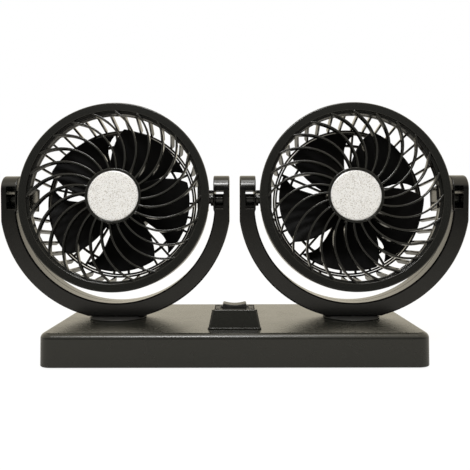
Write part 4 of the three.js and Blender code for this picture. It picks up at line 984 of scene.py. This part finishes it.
def head_wall():
    """The ring's wall, with a boss inside and a tab outside at each end of the tilt axis."""
    wall = turned("head_wall", [
        (RING_INNER, FLANGE_FRONT, 0.2), (RING_RADIUS, FLANGE_FRONT, 0.2),
        (RING_RADIUS - RING_TAPER, RING_REAR, 0.35), (RING_INNER, RING_REAR, 0.35),
    ], steps=160)
    pieces = [wall]
    for way in (-1, 1):
        low, high = sorted((way * (RING_INNER + BOSS_ROOT), way * (RING_INNER - BOSS_REACH)))
        boss = block("boss", (low, LIP_FRONT, -BOSS_HALF_HEIGHT),
                     (high, RING_REAR - 0.2, BOSS_HALF_HEIGHT))
        pieces.append(softened(boss, 0.5))
        low, high = sorted((way * (RING_INNER + GAP), way * (PAD_FACE - GAP)))
        tab = block("tab", (low, -TAB_HALF_DEPTH, TAB_LOW), (high, TAB_HALF_DEPTH, TAB_TOP))
        pieces.append(softened(tab, 0.3))
    return joined("head_wall", pieces)


def tilt_pin():
    """The pin on the right of a head, its grip in the boss and its head in the yoke's window."""
    grip = RING_RADIUS - PIN_GRIP
    flange_in, flange_out = RING_RADIUS + GAP, PAD_FACE - GAP
    head_in, head_out = WINDOW_IN + GAP, WINDOW_OUT - GAP
    pin = turned("tilt_pin", [
        (0, grip), (PIN_RADIUS, grip, 0.3), (PIN_RADIUS, flange_in), (PIN_FLANGE, flange_in, 0.15),
        (PIN_FLANGE, flange_out, 0.15), (PIN_RADIUS, flange_out), (PIN_RADIUS, head_in),
        (PIN_HEAD, head_in, 0.2), (PIN_HEAD, head_out, 0.4), (0, head_out),
    ], steps=48, axis="X", closed=False)
    return cut(pin, block("flat", (flange_in - OVERLAP, -5, PIN_FLAT),
                          (flange_out + OVERLAP, 5, 5)))


def guard_cage():
    """The guard's flange in the ring, its rear rim and the slanting bars between them."""
    flange = turned("flange", [
        (FLANGE_INNER, FLANGE_FRONT, 0.3), (FLANGE_OUTER, FLANGE_FRONT, 0.3),
        (FLANGE_OUTER, LIP_REAR, 0.3), (RING_OPENING, LIP_REAR, 0.4),
        (RING_OPENING, LIP_FRONT, 0.3), (FLANGE_INNER, LIP_FRONT),
    ], steps=160)
    notch_in, notch_z = RING_INNER - BOSS_REACH - GAP, BOSS_HALF_HEIGHT + GAP
    for way in (-1, 1):
        low, high = sorted((way * notch_in, way * NOTCH_OUT))
        cut(flange, block("notch", (low, NOTCH_FRONT, -notch_z), (high, 0, notch_z)))
    rim_front = GUARD_FRONT - 2 * GAP
    rim = turned("rim", [
        (CAGE_RIM_INNER, rim_front, 0.2), (CORNER_RING, rim_front, 0.3),
        (CORNER_RING, GUARD_REAR, 0.5), (CAGE_RIM_INNER, GUARD_REAR, 0.2),
    ], steps=128)
    foot, heel = RING_OPENING + GAP, CORNER_RING - 2 * GAP
    front, rear = LIP_REAR - GAP, GUARD_REAR - GAP
    outline = [
        (foot, front), (foot + BAR_THICKNESS, front), (heel + BAR_THICKNESS, rear), (heel, rear),
    ]
    bars = slab("bars", [(x, y, -BAR_WIDTH / 2) for x, y in outline], (0, 0, BAR_WIDTH))
    softened(bars, 0.3)
    pitch = 360 / BAR_COUNT
    upper = BAR_COUNT // 2 - BARS_LEFT_OUT
    moved(bars, facing_turn((BARS_LEFT_OUT + 1) / 2 * pitch))
    repeated(bars, upper, whole=upper * pitch)
    repeated(bars, 2)
    return joined("guard_cage", [flange, rim, bars])


def guard_back():
    """The guard's flat back: three rings on straight spokes, the inmost one for the motor."""
    rings = []
    for outer, inner, rounding in (
        (BACK_RADIUS, BACK_INNER, 0.2), (MIDDLE_RING, MIDDLE_RING - MIDDLE_RING_WIDTH, 0.4),
        (MOUNT_RADIUS, MOUNT_BORE, 0.4),
    ):
        rings.append(turned("ring", [
            (inner, GUARD_FRONT, rounding), (outer, GUARD_FRONT, rounding),
            (outer, GUARD_REAR, rounding), (inner, GUARD_REAR, rounding),
        ], steps=128))
    for way in (-1, 1):
        hole = drill("hole", MOTOR_SCREW_HOLE, *MOTOR_SCREW_SPAN, steps=24)
        cut(rings[2], moved(hole, at(x=way * MOTOR_SCREW_X)))
    front, rear = GUARD_FRONT + SPOKE_SETBACK, GUARD_REAR - SPOKE_SETBACK
    spokes = block("spokes", (MOUNT_RADIUS - SPOKE_ROOT, front, -SPOKE_WIDTH / 2),
                   (BACK_RADIUS - SPOKE_END, rear, SPOKE_WIDTH / 2))
    softened(spokes, 0.35)
    return joined("guard_back", [*rings, repeated(spokes, SPOKE_COUNT)])


def blades():
    """One blade is a grid bent by formula, then thickened and copied round."""
    columns, rows = BLADE_GRID
    bpy.ops.object.select_all(action="DESELECT")
    bpy.ops.mesh.primitive_grid_add(x_subdivisions=columns, y_subdivisions=rows, size=1)
    blade = bpy.context.object
    for vertex in blade.data.vertices:
        chord, out = vertex.co.x, vertex.co.y + 0.5
        radius = BLADE_ROOT + (BLADE_TIP - BLADE_ROOT) * out
        span = BLADE_SPANS[0] + (BLADE_SPANS[1] - BLADE_SPANS[0]) * out
        outside = max(0, out - BLADE_CORNER_SHARE) / (1 - BLADE_CORNER_SHARE)
        span += (-BLADE_LEADING_CUT if chord > 0 else BLADE_TRAILING_HOOK) * outside ** 2
        angle = math.radians(BLADE_LEAN * (0.5 - out) + chord * span)
        height = chord * BLADE_RISE + BLADE_CAMBER * (1 - 4 * chord ** 2)
        vertex.co = (radius * math.cos(angle), BLADE_MIDDLE - height, radius * math.sin(angle))
    with_modifier(blade, "SOLIDIFY", thickness=BLADE_THICKNESS, offset=0, use_even_offset=True)
    with editing(blade):
        bpy.ops.mesh.normals_make_consistent(inside=False)
    softened(blade, BLADE_EDGE, angle=50)
    return repeated(moved(blade, facing_turn(180 / BLADE_COUNT)), BLADE_COUNT)


def impeller():
    """The blades on their cup, with the sleeve that grips the motor's shaft."""
    inside, floor = IMPELLER_RADIUS - IMPELLER_WALL, IMPELLER_FRONT + IMPELLER_WALL
    socket = IMPELLER_REAR - SHAFT_ENGAGEMENT
    hub = turned("hub", [
        (0, IMPELLER_FRONT), (inside, IMPELLER_FRONT, 0.8), (IMPELLER_RADIUS, floor, 0.8),
        (IMPELLER_RADIUS, IMPELLER_REAR, 0.3), (inside, IMPELLER_REAR, 0.3), (inside, floor, 0.3),
        (SLEEVE_RADIUS, floor, 0.3), (SLEEVE_RADIUS, IMPELLER_REAR, 0.2),
        (SHAFT_RADIUS, IMPELLER_REAR, 0.2), (SHAFT_RADIUS, socket), (0, socket),
    ], closed=False)
    return joined("impeller", [hub, blades()])


def motor_cap():
    """The cover over the motor: a cup with a flange in front and vents in its rear."""
    flange_rear = COVER_FRONT + COVER_WALL
    cap = turned("motor_cap", [
        (COVER_INNER, COVER_FRONT, 0.2), (MOUNT_RADIUS, COVER_FRONT, 0.2),
        (MOUNT_RADIUS, flange_rear, 0.5), (COVER_RADIUS, flange_rear, 0.4),
        (COVER_RADIUS, COVER_REAR - 2, 1), (COVER_RADIUS - 2, COVER_REAR, 1), (0, COVER_REAR),
        (0, COVER_REAR - COVER_WALL), (COVER_INNER, COVER_REAR - COVER_WALL, 0.4),
    ])
    vents = block("vents", (VENT_IN, COVER_REAR - 3, -VENT_WIDTH / 2),
                  (VENT_OUT, COVER_REAR + 3, VENT_WIDTH / 2))
    with editing(vents):
        pick(vents, "edges", running("Y", 3))
        bpy.ops.mesh.bevel(offset=VENT_END, segments=5, affect="EDGES")
    cut(cap, repeated(vents, VENT_COUNT))
    return softened(cap, 0.2, segments=2, angle=60)


def fit_heads():
    patterns = {
        "spiral_grille": (spiral_grille(), "grille", "front_grille", "grille"),
        "sparkle_disc": (sparkle_disc(), "disc", "hub_disc", "disc"),
        "head_wall": (head_wall(), "grille", "head_ring", "grille"),
        "cage_of_bars": (guard_cage(), "grille", "guard_cage", "bars"),
        "guard_back": (guard_back(), "grille", "rear_guard", "bars"),
        "motor_cap": (motor_cap(), "housing", "motor_cover", "housing"),
    }
    pin, fan = tilt_pin(), impeller()
    for side in SIDES:
        body, place = f"{side}_head", head_place(side)
        for name, (pattern, slot, node_name, finish) in patterns.items():
            fitted(copied(pattern, f"{side}_{name}"), body, slot, [f"{side}_{node_name}"], place,
                   finish=finish)
        for end, turn in (("right", 0), ("left", math.pi)):
            fitted(copied(pin, f"{side}_pivot_{end}"), body, "housing",
                   [f"{side}_tilt_pin_{end}"], place @ Matrix.Rotation(turn, 4, "Z"))
        fitted(copied(fan, f"{side}_fan"), f"{side}_fan", "blade", [f"{side}_impeller"],
               place @ facing_turn(FAN_PHASE[side]))
    for pattern in (pin, fan, *(entry[0] for entry in patterns.values())):
        bpy.data.objects.remove(pattern)


# Camera, floor and light


def set_camera():
    lens = bpy.data.cameras.new("camera")
    lens.sensor_width = SENSOR_WIDTH
    lens.lens = LENS
    camera = bpy.data.objects.new("camera", lens)
    camera.location = CAMERA_PLACE
    turn = (90 - CAMERA_DIP, CAMERA_ROLL, CAMERA_YAW)
    camera.rotation_euler = [math.radians(angle) for angle in turn]
    bpy.context.scene.collection.objects.link(camera)
    bpy.context.scene.camera = camera


def shown_to_camera(tree, lit, seen, share=1):
    """Mixes in a shader that only the camera sees straight, up to a share of it."""
    camera = node(tree, "ShaderNodeLightPath").outputs["Is Camera Ray"]
    part = maths(tree, "MULTIPLY", camera, share)
    made = node(tree, "ShaderNodeMixShader", {0: part, 1: lit.outputs[0], 2: seen.outputs[0]})
    return made.outputs[0]


def set_floor():
    bpy.ops.object.select_all(action="DESELECT")
    bpy.ops.mesh.primitive_plane_add(size=FLOOR_SIZE, location=(0, 0, 0))
    floor = bpy.context.object
    floor.name = "floor"
    paper = bpy.data.materials.new("white_floor")
    paper.use_nodes = True
    tree = paper.node_tree
    tree.nodes.clear()
    plain = node(tree, "ShaderNodeBsdfDiffuse", {"Color": FLOOR_GREY})
    glow = node(tree, "ShaderNodeEmission", {"Color": WHITE, "Strength": GLOW_STRENGTH})
    out = node(tree, "ShaderNodeOutputMaterial")
    tree.links.new(shown_to_camera(tree, plain, glow, GLOW_SHARE), out.inputs[0])
    floor.data.materials.append(paper)


def set_surroundings():
    """White to the camera; to the object bright behind and overhead, and dim on the near side."""
    world = bpy.data.worlds.new("studio")
    bpy.context.scene.world = world
    world.use_nodes = True
    tree = world.node_tree
    tree.nodes.clear()
    direction = node(tree, "ShaderNodeTexCoord").outputs["Generated"]
    way = node(tree, "ShaderNodeSeparateXYZ", {0: direction})
    raised = maths(tree, "MULTIPLY", way.outputs["Z"], HEIGHT_SHARE)
    depth = maths(tree, "ADD", way.outputs["Y"], raised)
    depth = stretched(tree, depth, NEAR_DEPTH, FAR_DEPTH)
    strength = stretched(tree, depth, 0.0, 1.0, NEAR_STRENGTH, FAR_STRENGTH)
    tint = mix_colour(tree, depth, WHITE, FAR_TINT)
    lit = node(tree, "ShaderNodeBackground", {"Color": tint, "Strength": strength})
    white = node(tree, "ShaderNodeBackground", {"Color": WHITE, "Strength": 1.0})
    out = node(tree, "ShaderNodeOutputWorld")
    tree.links.new(shown_to_camera(tree, lit, white), out.inputs[0])


def add_softbox(name, place, aim, size, power):
    """A lamp of a size in metres and a power in watts, turned to face the point aimed at."""
    lamp = bpy.data.lights.new(name, "AREA")
    lamp.shape = "RECTANGLE"
    lamp.size, lamp.size_y = size
    lamp.energy = power
    box = bpy.data.objects.new(name, lamp)
    box.location = place
    box.rotation_euler = (Vector(aim) - Vector(place)).to_track_quat("-Z", "Y").to_euler()
    bpy.context.scene.collection.objects.link(box)


def set_lights():
    add_softbox("front_softbox", place=(-0.15, -0.75, 1.1), aim=(0, 0, 0.07), size=(0.4, 0.2),
                power=8.5)
    add_softbox("top_softbox", place=(0.1, -0.3, 1.2), aim=(0, 0, 0.05), size=(0.35, 0.35),
                power=2.4)


def finish_remaining_nodes():
    """The CAD nodes that stay as they are get the finish of their slot."""
    slots = {part["node"]: part["material_slot"] for part in frame["record"]["subparts"]}
    for name, kept in frame["nodes"].items():
        kept.data.materials.clear()
        kept.data.materials.append(FINISHES[slots[name]])


bpy.context.scene.view_settings.view_transform = "Standard"
set_camera()
set_floor()
set_surroundings()
set_lights()
finish_remaining_nodes()
fit_base()
fit_yokes()
fit_heads()
